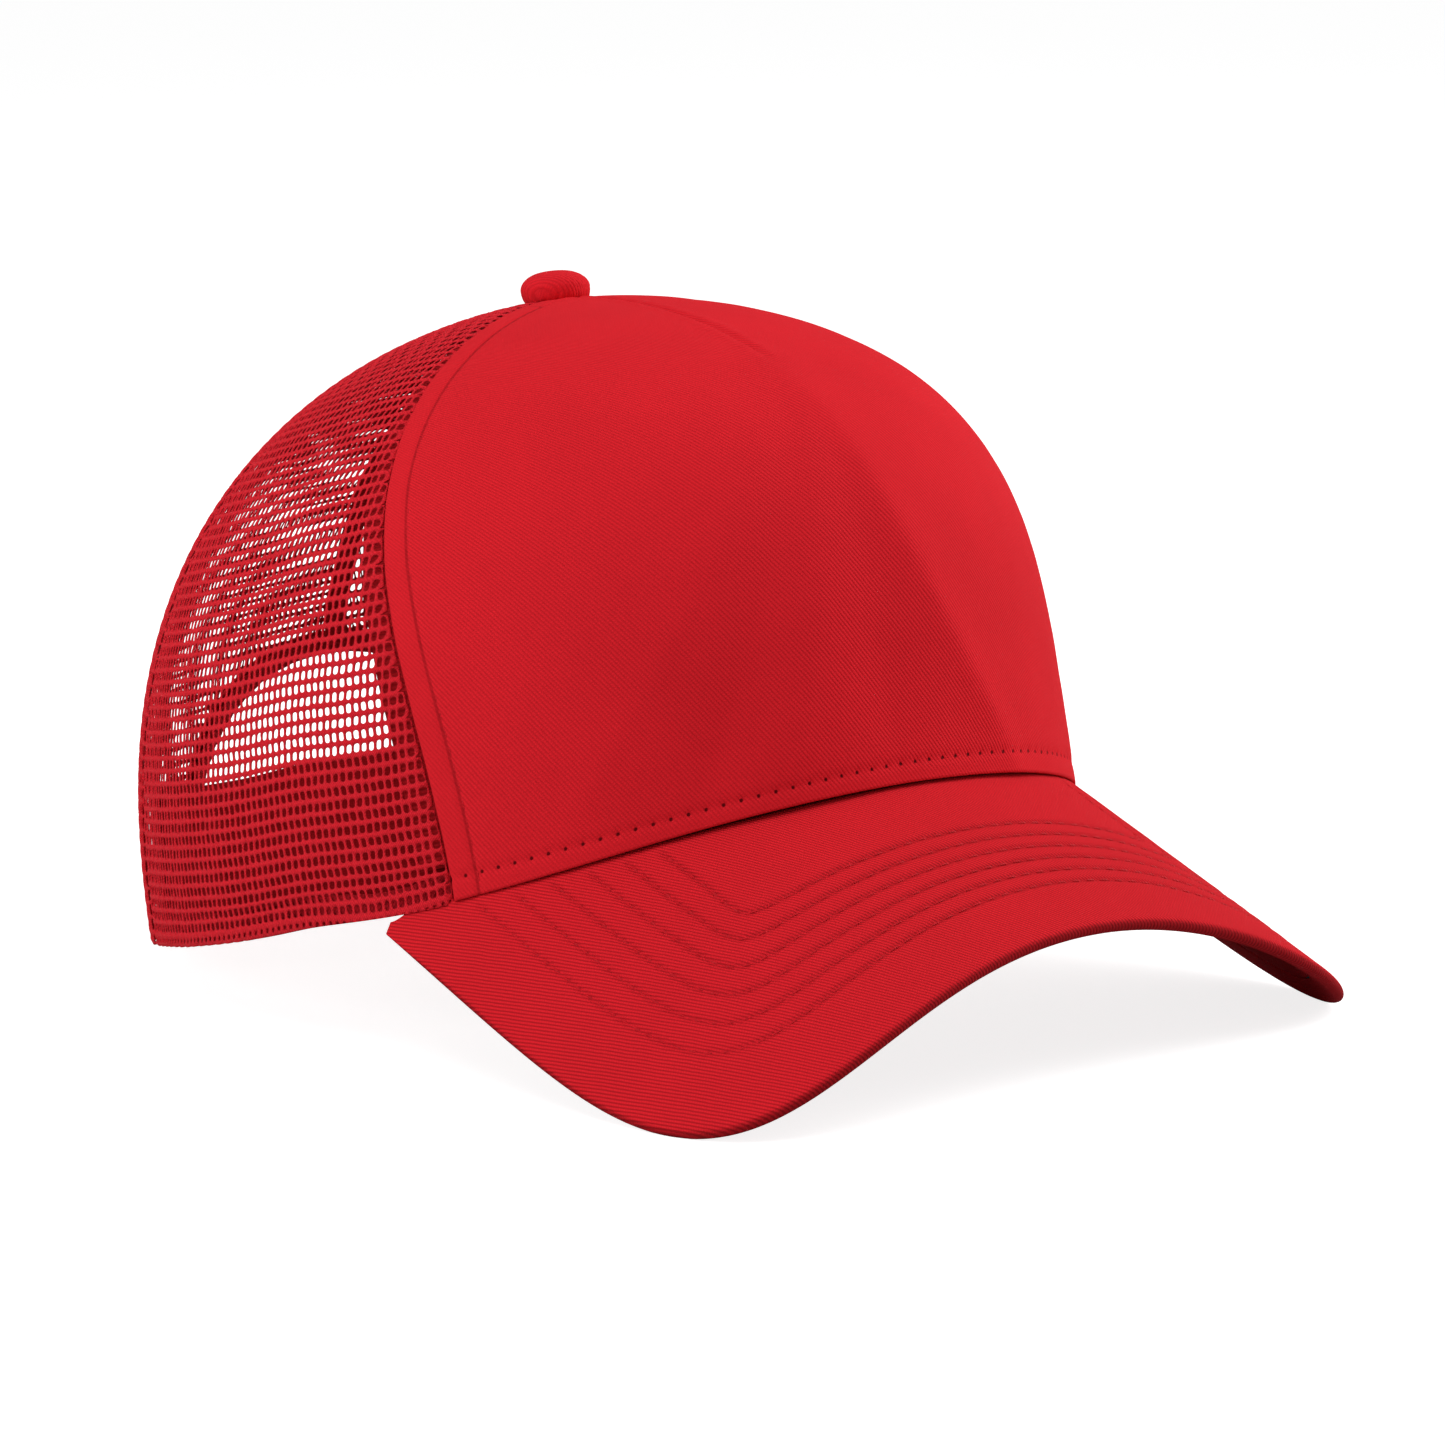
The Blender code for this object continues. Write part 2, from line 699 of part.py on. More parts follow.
front_layers()
side_mesh("side_mesh_left", 1)
side_mesh("side_mesh_right", -1)
rear_mesh("rear_mesh_left", 1)
rear_mesh("rear_mesh_right", -1)
seam_tape("front_seam_tape_left", front_seam, 1)
seam_tape("front_seam_tape_right", front_seam, -1)
seam_tape("rear_seam_tape_left", lambda share: SIDE_SEAM, 1)
seam_tape("rear_seam_tape_right", lambda share: SIDE_SEAM, -1)
seam_tape("centre_seam_tape", lambda share: BACK_SEAM, 1, CENTRE_TAPE_HALF_WIDTH, ARCH_HEIGHT + 2 * MM)
arch_binding()
sweatband()
visor()
button()
plastic = material("strap_plastic", RED_PLASTIC, 0.35)
strap("hole_strap", 1, HOLE_STRAP_DEPTH, HOLE_RADIUS, 0.0, plastic)
strap("peg_strap", -1, PEG_STRAP_DEPTH, PEG_RADIUS, PEG_LENGTH, plastic)
tip_onto_table()
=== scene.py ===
"""The looks of the trucker cap: cloth, knit mesh, stitching, snap strap and studio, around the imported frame.

Crown pieces are worked out in the cap's own frame, where the head opening lies in z = 0 and the front
points to -Y, and are then tipped into the row frame. Angles run round the crown in degrees from the
centre of the front, positive to the wearer's left; "climb" is the distance up from the hem; "depth"
is the distance in from the outer skin; a "share" is a part of the way up, from 0 to 1.
"""

import json
import math

import bpy
import numpy as np
from mathutils import Matrix, Vector, geometry, kdtree, noise


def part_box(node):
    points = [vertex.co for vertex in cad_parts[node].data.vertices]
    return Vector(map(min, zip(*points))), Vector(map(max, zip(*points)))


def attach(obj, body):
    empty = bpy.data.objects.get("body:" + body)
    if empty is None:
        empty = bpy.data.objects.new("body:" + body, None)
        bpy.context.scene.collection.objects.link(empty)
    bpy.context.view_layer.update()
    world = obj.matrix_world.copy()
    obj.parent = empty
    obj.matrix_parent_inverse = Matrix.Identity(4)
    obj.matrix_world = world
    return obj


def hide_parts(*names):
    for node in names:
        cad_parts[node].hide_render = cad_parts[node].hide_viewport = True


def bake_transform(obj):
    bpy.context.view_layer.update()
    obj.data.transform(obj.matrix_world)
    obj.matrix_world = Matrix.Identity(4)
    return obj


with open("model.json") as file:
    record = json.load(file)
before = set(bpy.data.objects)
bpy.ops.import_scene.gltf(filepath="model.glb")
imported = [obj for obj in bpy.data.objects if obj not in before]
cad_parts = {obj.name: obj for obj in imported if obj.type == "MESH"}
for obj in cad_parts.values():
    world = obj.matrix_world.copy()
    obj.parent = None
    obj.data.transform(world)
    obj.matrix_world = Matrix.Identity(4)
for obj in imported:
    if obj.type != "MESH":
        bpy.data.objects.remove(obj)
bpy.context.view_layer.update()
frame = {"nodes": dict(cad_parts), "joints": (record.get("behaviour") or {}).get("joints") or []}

MM = 0.001

# Crown and visor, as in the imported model
HALF_WIDTH = 88.4 * MM
FRONT_REACH = 102.5 * MM
REAR_REACH = 99.3 * MM
PLAN_POWER = 2.06
CROWN_HEIGHT = 115.7 * MM
BUTTON_FORWARD = 11.0 * MM
RISE_POWER = {"front": 4.33, "side": 2.33, "rear": 2.82, "quarter": 0.62}
ROUND_POWER = {"front": 1.50, "side": 2.14, "rear": 1.95, "quarter": -0.13}
FRONT_SEAM = 56.9
FRONT_SEAM_SWELL = 0.13
SIDE_SEAM = 116.0
BACK_SEAM = 180.0
ARCH_HALF_ANGLE = 31.0
ARCH_HEIGHT = 54 * MM
VISOR_LENGTH = 45.8 * MM
VISOR_HALF_WIDTH = 82.0 * MM
VISOR_BEND_RADIUS = 95.0 * MM
VISOR_PITCH = math.radians(30.6)
VISOR_ROOT_HEIGHT = 12.9 * MM
VISOR_OUTLINE_POWER = 4.73
VISOR_PAST_SEAM = 8.0
VISOR_DROP = 0.4 * MM
VISOR_THICKNESS = 2.7 * MM
HEM_LEVELS_AT = 77.0
HEM_LEVELS_OVER = 4.0
HEM_FLAT_FROM = 100.0

# Thickness of the front panel's cloth, and how far short of the button's centre it ends
PANEL_CLOTH = 0.7 * MM
FRONT_TOP_GAP = 3.6 * MM

# Knit mesh: stitch and row pitch, half sizes of a hole and its slant; how the side panels' rows climb
# towards the front and the rear panels' rows towards the wearer's left; how much coarser the rear is
KNIT_PITCH = 1.56 * MM
KNIT_ROW = 2.50 * MM
KNIT_HOLE = (0.54 * MM, 0.84 * MM)
KNIT_SLANT = 0.20
SIDE_ROW_CLIMB = -0.025
REAR_ROW_CLIMB = 0.09
REAR_STRETCH = 1.15
REAR_KNIT_HOLE = (0.60 * MM, 0.91 * MM)

# Sewing: length of a stitch, its thread, and the dash of thread that shows of each stitch
STITCH_PITCH = 3.35 * MM
THREAD_RADIUS = 0.24 * MM
DASH_SHARE = 0.8
DASH_RINGS = 6
DASH_SIDES = 6
DASH_STEP = 0.1 * MM

random = np.random.default_rng(7)


# ---------------------------------------------------------------- crown surface


def signed_power(value, power):
    return np.sign(value) * np.abs(value) ** power


def blend_round(angle, values):
    c = np.cos(np.radians(angle))
    s = np.sin(np.radians(angle))
    end = np.where(c > 0, values["front"], values["rear"])
    quarter = np.where(c > 0, (2 * c * s) ** 2, 0.0)
    return values["side"] + (end - values["side"]) * c**2 + values["quarter"] * quarter


def plan(angle):
    """The hem seen from above: x, and how far forward of the opening's centre."""
    a = np.radians(angle)
    reach = np.where(np.cos(a) > 0, FRONT_REACH, REAR_REACH)
    x = HALF_WIDTH * signed_power(np.sin(a), 2 / PLAN_POWER)
    return x, reach * signed_power(np.cos(a), 2 / PLAN_POWER)


def visor_sag(x):
    return VISOR_BEND_RADIUS - np.sqrt(VISOR_BEND_RADIUS**2 - x**2)


def visor_height(x, forward):
    return VISOR_ROOT_HEIGHT - visor_sag(x) - (forward - FRONT_REACH) * math.tan(VISOR_PITCH)


def hem_height(angle):
    around = np.abs(angle)
    x, forward = plan(angle)
    share = 1 / (1 + np.exp((around - HEM_LEVELS_AT) / HEM_LEVELS_OVER))
    return np.where(around < HEM_FLAT_FROM, visor_height(x, forward) * share, 0.0)


def unit(vectors):
    return vectors / np.maximum(np.linalg.norm(vectors, axis=-1, keepdims=True), 1e-12)


def run_along(line):
    """The distance run along a line up to each of its points."""
    steps = np.linalg.norm(np.diff(line, axis=0), axis=1)
    return np.concatenate([[0.0], np.cumsum(steps)])


def at_runs(wanted, run, line):
    """The line's values where the distance run is as wanted."""
    return np.stack([np.interp(wanted, run, line[:, k]) for k in range(line.shape[1])], axis=-1)


class Skin:
    """The crown's outer skin as a table over angle and share of the climb."""

    first_angle = -184.0
    angles = np.arange(first_angle, 184.5, 1.0)
    shares = np.linspace(0, 1, 301)

    def __init__(self):
        elevation = np.linspace(0, 1, 721) ** 2 * math.pi / 2
        points, heights, lengths = [], [], []
        for angle in self.angles:
            x, forward = plan(angle)
            low = hem_height(angle)
            spread = np.cos(elevation) ** (2 / blend_round(angle, ROUND_POWER))
            rise = np.sin(elevation) ** (2 / blend_round(angle, RISE_POWER))
            ahead = BUTTON_FORWARD + (forward - BUTTON_FORWARD) * spread
            line = np.stack([x * spread, -ahead, low + (CROWN_HEIGHT - low) * rise], axis=-1)
            climbed = run_along(line)
            at = self.shares * climbed[-1]
            points.append(at_runs(at, climbed, line))
            heights.append(np.interp(at, climbed, elevation))
            lengths.append(climbed[-1])
        self.points = np.array(points)
        self.elevations = np.array(heights)[..., None]
        self.lengths = np.array(lengths)
        normals = np.cross(np.gradient(self.points, axis=0), np.gradient(self.points, axis=1))
        normals[:, 0, 2] = 0.0
        normals[:, -1] = (0, 0, 1)
        self.normals = unit(normals)

    def length(self, angle):
        return np.interp(np.mod(angle + 180, 360) - 180, self.angles, self.lengths)

    def sample(self, table, angle, share):
        angle, share = np.broadcast_arrays(np.asarray(angle, float), np.asarray(share, float))
        around = np.mod(angle + 180, 360) - 180
        a = np.clip(around - self.first_angle, 0, len(self.angles) - 1.001)
        s = np.clip(share, 0, 1) * (len(self.shares) - 1.001)
        i = a.astype(int)
        j = s.astype(int)
        fa = (a - i)[..., None]
        fs = (s - j)[..., None]
        low = table[i, j] * (1 - fa) + table[i + 1, j] * fa
        high = table[i, j + 1] * (1 - fa) + table[i + 1, j + 1] * fa
        return low * (1 - fs) + high * fs

    def at(self, angle, climb, depth=0.0):
        """Points at a depth under the skin, in the cap's frame."""
        share = climb / self.length(angle)
        normal = unit(self.sample(self.normals, angle, share))
        return self.sample(self.points, angle, share) - np.asarray(depth)[..., None] * normal

    def normal(self, angle, climb):
        return unit(self.sample(self.normals, angle, climb / self.length(angle)))

    def radius(self, angle, share):
        point = self.sample(self.points, angle, share)
        return np.hypot(point[..., 0], point[..., 1] + BUTTON_FORWARD)


skin = Skin()


def front_seam(share):
    angle = np.full(np.shape(share), FRONT_SEAM)
    for _ in range(5):
        elevation = skin.sample(skin.elevations, angle, share)[..., 0]
        angle = FRONT_SEAM * (1 + FRONT_SEAM_SWELL * np.sin(2 * elevation))
    return angle


# The joints' axis gives the cap's tilt, and the button's washer gives its place
axis = frame["joints"][0]["axis"]
TILT = math.atan2(-axis[1], -axis[2])
TURN = np.array(Matrix.Rotation(-TILT, 3, "X"))
WASHER_BELOW_TOP = 2.85 * MM
FLOOR_GAP = 0.02 * MM
washer_low, washer_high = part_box("button_washer")
washer_middle = np.array([0, -BUTTON_FORWARD, CROWN_HEIGHT - WASHER_BELOW_TOP])
ORIGIN = np.array((washer_low + washer_high) / 2) - TURN @ washer_middle


def to_row(points):
    """Points in the row frame; whatever rests on the floor is pressed flat against it."""
    placed = np.asarray(points) @ TURN.T + ORIGIN
    placed[..., 2] = np.maximum(placed[..., 2], FLOOR_GAP)
    return placed


# ---------------------------------------------------------------- meshes


def new_object(name, verts, faces, finish, body="crown", stands_for=(), cloth=None, slot=None):
    """A piece from points in the cap's frame, with an optional cloth coordinate for its weave and its painted
    shade.
    """
    mesh = bpy.data.meshes.new(name)
    faces = [[int(k) for k in face] for face in faces]
    mesh.from_pydata(to_row(verts).tolist(), [], faces)
    if cloth is not None:
        attribute = mesh.attributes.new("cloth", "FLOAT_VECTOR", "POINT")
        attribute.data.foreach_set("vector", np.asarray(cloth, np.float32).ravel())
    mesh.validate()
    mesh.shade_smooth()
    mesh.materials.append(finish)
    made = bpy.data.objects.new(name, mesh)
    bpy.context.scene.collection.objects.link(made)
    if body:
        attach(made, body)
    if stands_for:
        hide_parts(*stands_for)
    return made


def grid_faces(rows, columns, offset=0, flip=False):
    i, j = np.meshgrid(np.arange(rows - 1), np.arange(columns - 1), indexing="ij")
    a = offset + i * columns + j
    quads = np.stack([a, a + 1, a + columns + 1, a + columns], axis=-1).reshape(-1, 4)
    return quads[:, ::-1] if flip else quads


def sheet(name, outer, inner, finish, cloth, back_cloth=None, **options):
    """A closed sheet between two equal grids of points; its back can have its own cloth coordinates."""
    rows, columns = outer.shape[:2]
    count = rows * columns
    quads = [grid_faces(rows, columns), grid_faces(rows, columns, count, True)]
    index = np.arange(count).reshape(rows, columns)
    rim = np.concatenate([index[0, :-1], index[:-1, -1], index[-1, :0:-1], index[:0:-1, 0]])
    after = np.roll(rim, -1)
    quads.append(np.stack([rim + count, after + count, after, rim], axis=-1))
    verts = np.concatenate([outer.reshape(-1, 3), inner.reshape(-1, 3)])
    back = cloth if back_cloth is None else back_cloth
    return new_object(name, verts, np.concatenate(quads), finish,
                      cloth=np.concatenate([cloth.reshape(-1, 3), back.reshape(-1, 3)]), **options)


def swept_faces(rows, columns, flip=False):
    """Faces of a closed section swept along a line, without its two ends."""
    index = np.arange(rows * columns).reshape(rows, columns)
    after = np.roll(index, -1, axis=1)
    ring = [index[:-1], after[:-1], after[1:], index[1:]]
    if flip:
        ring = [index[:-1], index[1:], after[1:], after[:-1]]
    return np.stack(ring, axis=-1).reshape(-1, 4).tolist()


def open_edges(faces):
    """Edges that only one of the faces has."""
    edges = [edge for face in faces for edge in zip(face, face[1:] + face[:1])]
    there = set(edges)
    return [(a, b) for a, b in edges if (b, a) not in there]


def bell(distance, width):
    """1 where the distance is 0, falling smoothly away over the width."""
    return np.exp(-((distance / width) ** 2))


def stitches(name, path, normals, lift, pitch=STITCH_PITCH, radius=THREAD_RADIUS, body="crown"):
    """A row of thread dashes along a path on a surface; each dash's ends dip under the cloth."""
    sides = DASH_SIDES
    run = run_along(path)
    count = max(2, int(run[-1] / pitch))
    centres = (np.arange(count) + 0.5) * run[-1] / count
    along = np.linspace(-0.5, 0.5, DASH_RINGS)
    rings = centres[:, None] + along[None, :] * pitch * DASH_SHARE
    middle = at_runs(rings, run, path)
    up = unit(at_runs(rings, run, normals))
    ahead = unit(at_runs(rings + DASH_STEP, run, path) - at_runs(rings - DASH_STEP, run, path))
    side = unit(np.cross(ahead, up))
    arch = 1 - (2 * along) ** 4
    middle = middle + up * (radius * (lift - 1.6 * (1 - arch)))[None, :, None]
    thick = radius * (0.55 + 0.45 * arch)
    turn = np.linspace(0, 2 * math.pi, sides, endpoint=False)
    ring = (np.cos(turn)[:, None] * side[:, :, None, :] + np.sin(turn)[:, None] * up[:, :, None, :])
    verts = middle[:, :, None, :] + ring * thick[None, :, None, None]
    faces = []
    per = len(along) * sides
    for k in range(count):
        base = k * per
        for r in range(len(along) - 1):
            for s in range(sides):
                t = (s + 1) % sides
                a = base + r * sides
                faces.append((a + s, a + t, a + sides + t, a + sides + s))
        faces.append([base + s for s in reversed(range(sides))])
        faces.append([base + per - sides + s for s in range(sides)])
    return new_object(name, verts.reshape(-1, 3), faces, thread, body=body)


# ---------------------------------------------------------------- finishes


class Finish:
    """A material put together from shader nodes."""

    def __init__(self, name):
        self.material = bpy.data.materials.new(name)
        self.material.use_nodes = True
        self.tree = self.material.node_tree
        self.shader = self.tree.nodes["Principled BSDF"]

    def feed(self, socket, value):
        if isinstance(value, bpy.types.NodeSocket):
            self.tree.links.new(value, socket)
        else:
            socket.default_value = value

    def node(self, kind, inputs=None, output=0, **settings):
        made = self.tree.nodes.new(kind)
        for key, value in settings.items():
            setattr(made, key, value)
        for key, value in (inputs or {}).items():
            self.feed(made.inputs[key], value)
        return made.outputs[output]

    def maths(self, operation, *values):
        return self.node("ShaderNodeMath", dict(enumerate(values)), operation=operation)

    def product(self, first, *others):
        for value in others:
            first = self.maths("MULTIPLY", first, value)
        return first

    def cloth(self):
        """The piece's cloth coordinate: along, up, and a third value: the distance from the seam on the front
        panel, else how much painted shade falls there, where the finish reads it.
        """
        vector = self.node("ShaderNodeAttribute", output="Vector", attribute_name="cloth")
        split = self.tree.nodes.new("ShaderNodeSeparateXYZ")
        self.feed(split.inputs[0], vector)
        return vector, split.outputs[0], split.outputs[1], split.outputs[2]

    def place(self):
        return self.node("ShaderNodeNewGeometry", output="Position")

    def noise(self, vector, size, detail=2.0):
        """Noise from 0 to 1 with features of a given size."""
        inputs = {"Vector": vector, "Scale": 1 / size, "Detail": detail}
        return self.node("ShaderNodeTexNoise", inputs, output="Fac")

    def ripples(self, u, v, direction, period, shift=0.0):
        """A wave from 0 to 1 across lines that run square to a direction in degrees."""
        turn = math.radians(direction)
        waves = 2 * math.pi / period
        along = self.maths("MULTIPLY", u, math.cos(turn) * waves)
        across = self.maths("MULTIPLY_ADD", v, math.sin(turn) * waves, along)
        wave = self.maths("SINE", self.maths("ADD", across, shift))
        return self.maths("MULTIPLY_ADD", wave, 0.5, 0.5)

    def between(self, factor, low, high):
        return self.maths("MULTIPLY_ADD", factor, high - low, low)

    def below(self, value, edge, soft):
        """1 where a value is below an edge, falling smoothly to 0 above it."""
        inputs = {0: value, 1: edge - soft / 2, 2: edge + soft / 2, 3: 1.0, 4: 0.0}
        return self.node("ShaderNodeMapRange", inputs, interpolation_type="SMOOTHSTEP")

    def mix(self, factor, first, second):
        """From the first value to the second as the factor goes from 0 to 1."""
        step = self.maths("SUBTRACT", second, first)
        return self.maths("MULTIPLY_ADD", factor, step, first)

    def painted_sewing_shade(self, u, v, from_seam, vector):
        """Painted shade in the needle holes above the hem, and along the thin pulled-in line of the topstitch.
        """
        lap = self.maths("SUBTRACT", self.maths("FRACT", self.maths("DIVIDE", u, STITCH_PITCH)), 0.5)
        along = self.maths("MULTIPLY", lap, STITCH_PITCH)
        up = self.maths("SUBTRACT", v, HEM_STITCH)
        away = self.maths("SQRT", self.maths("MULTIPLY_ADD", along, along, self.maths("MULTIPLY", up, up)))
        hole = self.below(away, NEEDLE_HOLE, 0.25 * MM)
        off = self.maths("ABSOLUTE", self.maths("SUBTRACT", from_seam, SEAM_STRIP))
        line = self.maths("MULTIPLY", self.below(off, 0.28 * MM, 0.3 * MM),
                          self.between(self.noise(vector, 1.3 * MM), 0.35, 1.15))
        return self.maths("MULTIPLY", self.between(hole, 1.0, 0.16), self.between(line, 1.0, 0.55))

    def shade(self, colour, amount):
        """The colour, made lighter or darker by an amount."""
        inputs = {0: 1.0, 6: colour, 7: amount}
        return self.node("ShaderNodeMix", inputs, output=2, data_type="RGBA", blend_type="MULTIPLY")

    def bump(self, height, distance, strength=1.0):
        inputs = {"Height": height, "Distance": distance, "Strength": strength}
        self.feed(self.shader.inputs["Normal"], self.node("ShaderNodeBump", inputs))

    def surface(self, colour, roughness, sheen=0.0, metallic=0.0, specular=0.5):
        self.feed(self.shader.inputs["Base Color"], colour)
        self.feed(self.shader.inputs["Roughness"], roughness)
        self.feed(self.shader.inputs["Metallic"], metallic)
        self.shader.inputs["Specular IOR Level"].default_value = specular
        self.shader.inputs["Sheen Weight"].default_value = sheen
        self.shader.inputs["Sheen Roughness"].default_value = 0.45
        self.shader.inputs["Sheen Tint"].default_value = (1.0, 0.06, 0.07, 1.0)


TWILL_RED = (0.78, 0.0160, 0.0260, 1.0)
KNIT_RED = (0.95, 0.0180, 0.0340, 1.0)
RIBBON_RED = (0.60, 0.0080, 0.0150, 1.0)
THREAD_RED = (0.60, 0.0080, 0.0160, 1.0)
PLASTIC_RED = (0.56, 0.0060, 0.0110, 1.0)
BUCKRAM_WHITE = (0.80, 0.78, 0.74, 1.0)
BOARD_GREY = (0.28, 0.28, 0.29, 1.0)
STEEL_GREY = (0.60, 0.60, 0.62, 1.0)


def twill_finish(name, direction, period, valley, sewn=False, under=1.0):
    """Diagonal twill: raised lines with narrow dark valleys, broken up by the threads that cross them.

    The cloth's third value is the distance from the seam where it is sewn, which places the painted shade of
    the needle holes and topstitch line; else it is how much painted shade falls there, on the underside and
    folded edge and in the stitch channels, darkening down to the under factor.
    """
    made = Finish(name)
    vector, u, v, from_seam = made.cloth()
    wander = made.between(made.noise(vector, 6 * MM), -0.5, 0.5)
    slid = made.maths("MULTIPLY_ADD", wander, 0.35 * MM, u)
    line = made.maths("POWER", made.ripples(slid, v, direction, period), 0.6)
    cross = made.ripples(slid, v, direction + 74, 0.52 * MM)
    weave = made.maths("MULTIPLY", line, made.between(cross, 0.75, 1.0))
    fleck = made.noise(vector, 0.35 * MM, 3.0)
    # painted shade: on the visor, the underside and folded edge and the stitch channels darken down to the
    # under factor
    painted_shade = made.between(from_seam, 1.0, under)
    if sewn:
        plain = made.maths("MAXIMUM", made.below(from_seam, SEAM_STRIP, 0.6 * MM),
                           made.below(v, 3.0 * MM, 1.2 * MM))
        weave = made.mix(made.maths("MULTIPLY", plain, 0.4), weave, MEAN_WEAVE)
        # painted shade of the needle holes and the topstitch line
        painted_shade = made.painted_sewing_shade(u, v, from_seam, vector)
    height = made.maths("MULTIPLY_ADD", fleck, 0.35, weave)
    shading = made.between(made.maths("SUBTRACT", 1.0, weave), 1.0, valley)
    cloud = made.between(made.noise(vector, 24 * MM), 0.94, 1.05)
    light = made.product(shading, made.between(fleck, 0.90, 1.09), cloud, painted_shade)
    made.surface(made.shade(TWILL_RED, light), 0.85, sheen=0.10, specular=0.05)
    made.bump(height, 0.10 * MM)
    return made.material


def knit_finish():
    """Knitted thread: fine slanting strands, with painted shade on the threads' inner face, deepest on the
    walls of each hole.
    """
    made = Finish("mesh_knit")
    vector, u, v, inside = made.cloth()
    strand = made.ripples(u, v, 38, 0.36 * MM)
    other = made.ripples(u, v, -44, 0.55 * MM)
    fleck = made.noise(vector, 0.28 * MM, 3.0)
    height = made.maths("MULTIPLY", made.maths("ADD", strand, other), made.between(fleck, 0.4, 1.2))
    cloud = made.between(made.noise(vector, 14 * MM), 0.93, 1.06)
    # painted shade: darker from the threads' outer face in towards each hole's inner edge
    light = made.product(made.between(fleck, 0.72, 1.42), made.between(strand, 0.80, 1.08),
                         made.between(inside, 1.0, 0.60), cloud)
    made.surface(made.shade(KNIT_RED, light), 0.6, sheen=0.12, specular=0.10)
    made.bump(height, 0.14 * MM)
    return made.material


def ribbon_finish():
    """Woven tape with fine ribs across it."""
    made = Finish("seam_ribbon")
    vector, u, v, _ = made.cloth()
    rib = made.ripples(u, v, 90, 0.85 * MM)
    thread = made.ripples(u, v, 0, 0.42 * MM)
    weave = made.maths("MULTIPLY", rib, made.between(thread, 0.7, 1.0))
    fleck = made.noise(vector, 0.5 * MM, 3.0)
    light = made.maths("MULTIPLY", made.between(weave, 0.78, 1.05), made.between(fleck, 0.92, 1.08))
    made.surface(made.shade(RIBBON_RED, light), 0.7, sheen=0.12, specular=0.12)
    made.bump(made.maths("MULTIPLY_ADD", fleck, 0.3, weave), 0.14 * MM)
    return made.material


def cotton_finish():
    """Plain-woven cotton with faint wear where it sits on the forehead, and painted shade on the face towards
    the mesh.
    """
    made = Finish("sweatband_cotton")
    vector, u, v, shaded_side = made.cloth()
    warp = made.ripples(u, v, 0, 0.46 * MM)
    weft = made.ripples(u, v, 90, 0.46 * MM)
    weave = made.maths("MULTIPLY", warp, weft)
    fleck = made.noise(vector, 0.6 * MM, 3.0)
    wear = made.noise(vector, 18 * MM, 3.0)
    # painted shade: the band's face towards the mesh is darker
    light = made.product(made.between(weave, 0.82, 1.05), made.between(fleck, 0.93, 1.06),
                         made.between(wear, 0.88, 1.05), made.between(shaded_side, 1.0, 0.85))
    made.surface(made.shade(RIBBON_RED, light), made.between(wear, 0.72, 0.9), sheen=0.1, specular=0.1)
    made.bump(made.maths("MULTIPLY_ADD", fleck, 0.4, weave), 0.12 * MM)
    return made.material


def buckram_finish():
    """Stiffened open-weave cotton: a coarse off-white grid, a little yellowed by its glue."""
    made = Finish("buckram")
    vector, u, v, _ = made.cloth()
    warp = made.maths("POWER", made.ripples(u, v, 0, 1.15 * MM), 2.0)
    weft = made.maths("POWER", made.ripples(u, v, 90, 1.15 * MM), 2.0)
    grid = made.maths("MAXIMUM", warp, weft)
    glue = made.noise(vector, 9 * MM, 4.0)
    light = made.maths("MULTIPLY", made.between(grid, 0.72, 1.02), made.between(glue, 0.88, 1.05))
    made.surface(made.shade(BUCKRAM_WHITE, light), 0.8, specular=0.3)
    made.bump(grid, 0.18 * MM)
    return made.material


def thread_finish():
    """Twisted sewing thread with a slight gloss."""
    made = Finish("sewing_thread")
    place = made.place()
    split = made.tree.nodes.new("ShaderNodeSeparateXYZ")
    made.feed(split.inputs[0], place)
    twist = made.ripples(split.outputs[0], split.outputs[2], 40, 0.4 * MM)
    fleck = made.noise(place, 0.5 * MM)
    light = made.maths("MULTIPLY", made.between(twist, 0.80, 1.06), made.between(fleck, 0.9, 1.08))
    made.surface(made.shade(THREAD_RED, light), 0.6, specular=0.12)
    made.bump(twist, 0.08 * MM)
    return made.material


def plastic_finish(name, colour, roughness):
    """Moulded plastic: faintly uneven gloss, with light scratches from wear."""
    made = Finish(name)
    place = made.place()
    cloud = made.noise(place, 7 * MM, 3.0)
    grain = made.noise(place, 0.35 * MM, 2.0)
    light = made.between(cloud, 0.92, 1.06)
    made.surface(made.shade(colour, light), made.between(cloud, roughness - 0.06, roughness + 0.12))
    made.shader.inputs["Subsurface Weight"].default_value = 0.15
    made.shader.inputs["Subsurface Radius"].default_value = (2 * MM, 0.4 * MM, 0.4 * MM)
    made.bump(grain, 0.02 * MM, 0.6)
    return made.material


def steel_finish():
    """Plated steel with fine brush lines."""
    made = Finish("button_steel")
    place = made.place()
    stretched = made.node("ShaderNodeVectorMath", {0: place, 1: (1, 1, 12)}, operation="MULTIPLY")
    brushed = made.noise(stretched, 1.5 * MM, 3.0)
    light = made.between(brushed, 0.85, 1.05)
    made.surface(made.shade(STEEL_GREY, light), made.between(brushed, 0.28, 0.45), metallic=1.0)
    made.bump(brushed, 0.02 * MM, 0.5)
    return made.material


# How light the weave is on average, and the sewing that shows on the front panel
MEAN_WEAVE = 0.40
HEM_STITCH = 4.6 * MM
SEAM_STRIP = 5.4 * MM
# NEEDLE_HOLE is the radius of each needle hole's painted shade
NEEDLE_HOLE = 0.34 * MM

front_twill = twill_finish("front_twill", 34.0, 0.70 * MM, 0.74, sewn=True)
button_twill = twill_finish("button_twill", 34.0, 0.60 * MM, 0.80)
# the visor's underside, folded edge and stitch channels get painted shade, down to 0.52 of the colour
visor_twill = twill_finish("visor_twill", -25.5, 0.67 * MM, 0.50, under=0.52)
knit = knit_finish()
ribbon = ribbon_finish()
cotton = cotton_finish()
buckram = buckram_finish()
thread = thread_finish()
strap_plastic = plastic_finish("strap_plastic", PLASTIC_RED, 0.34)
board_plastic = plastic_finish("visor_plastic", BOARD_GREY, 0.5)
steel = steel_finish()


# ---------------------------------------------------------------- front panel

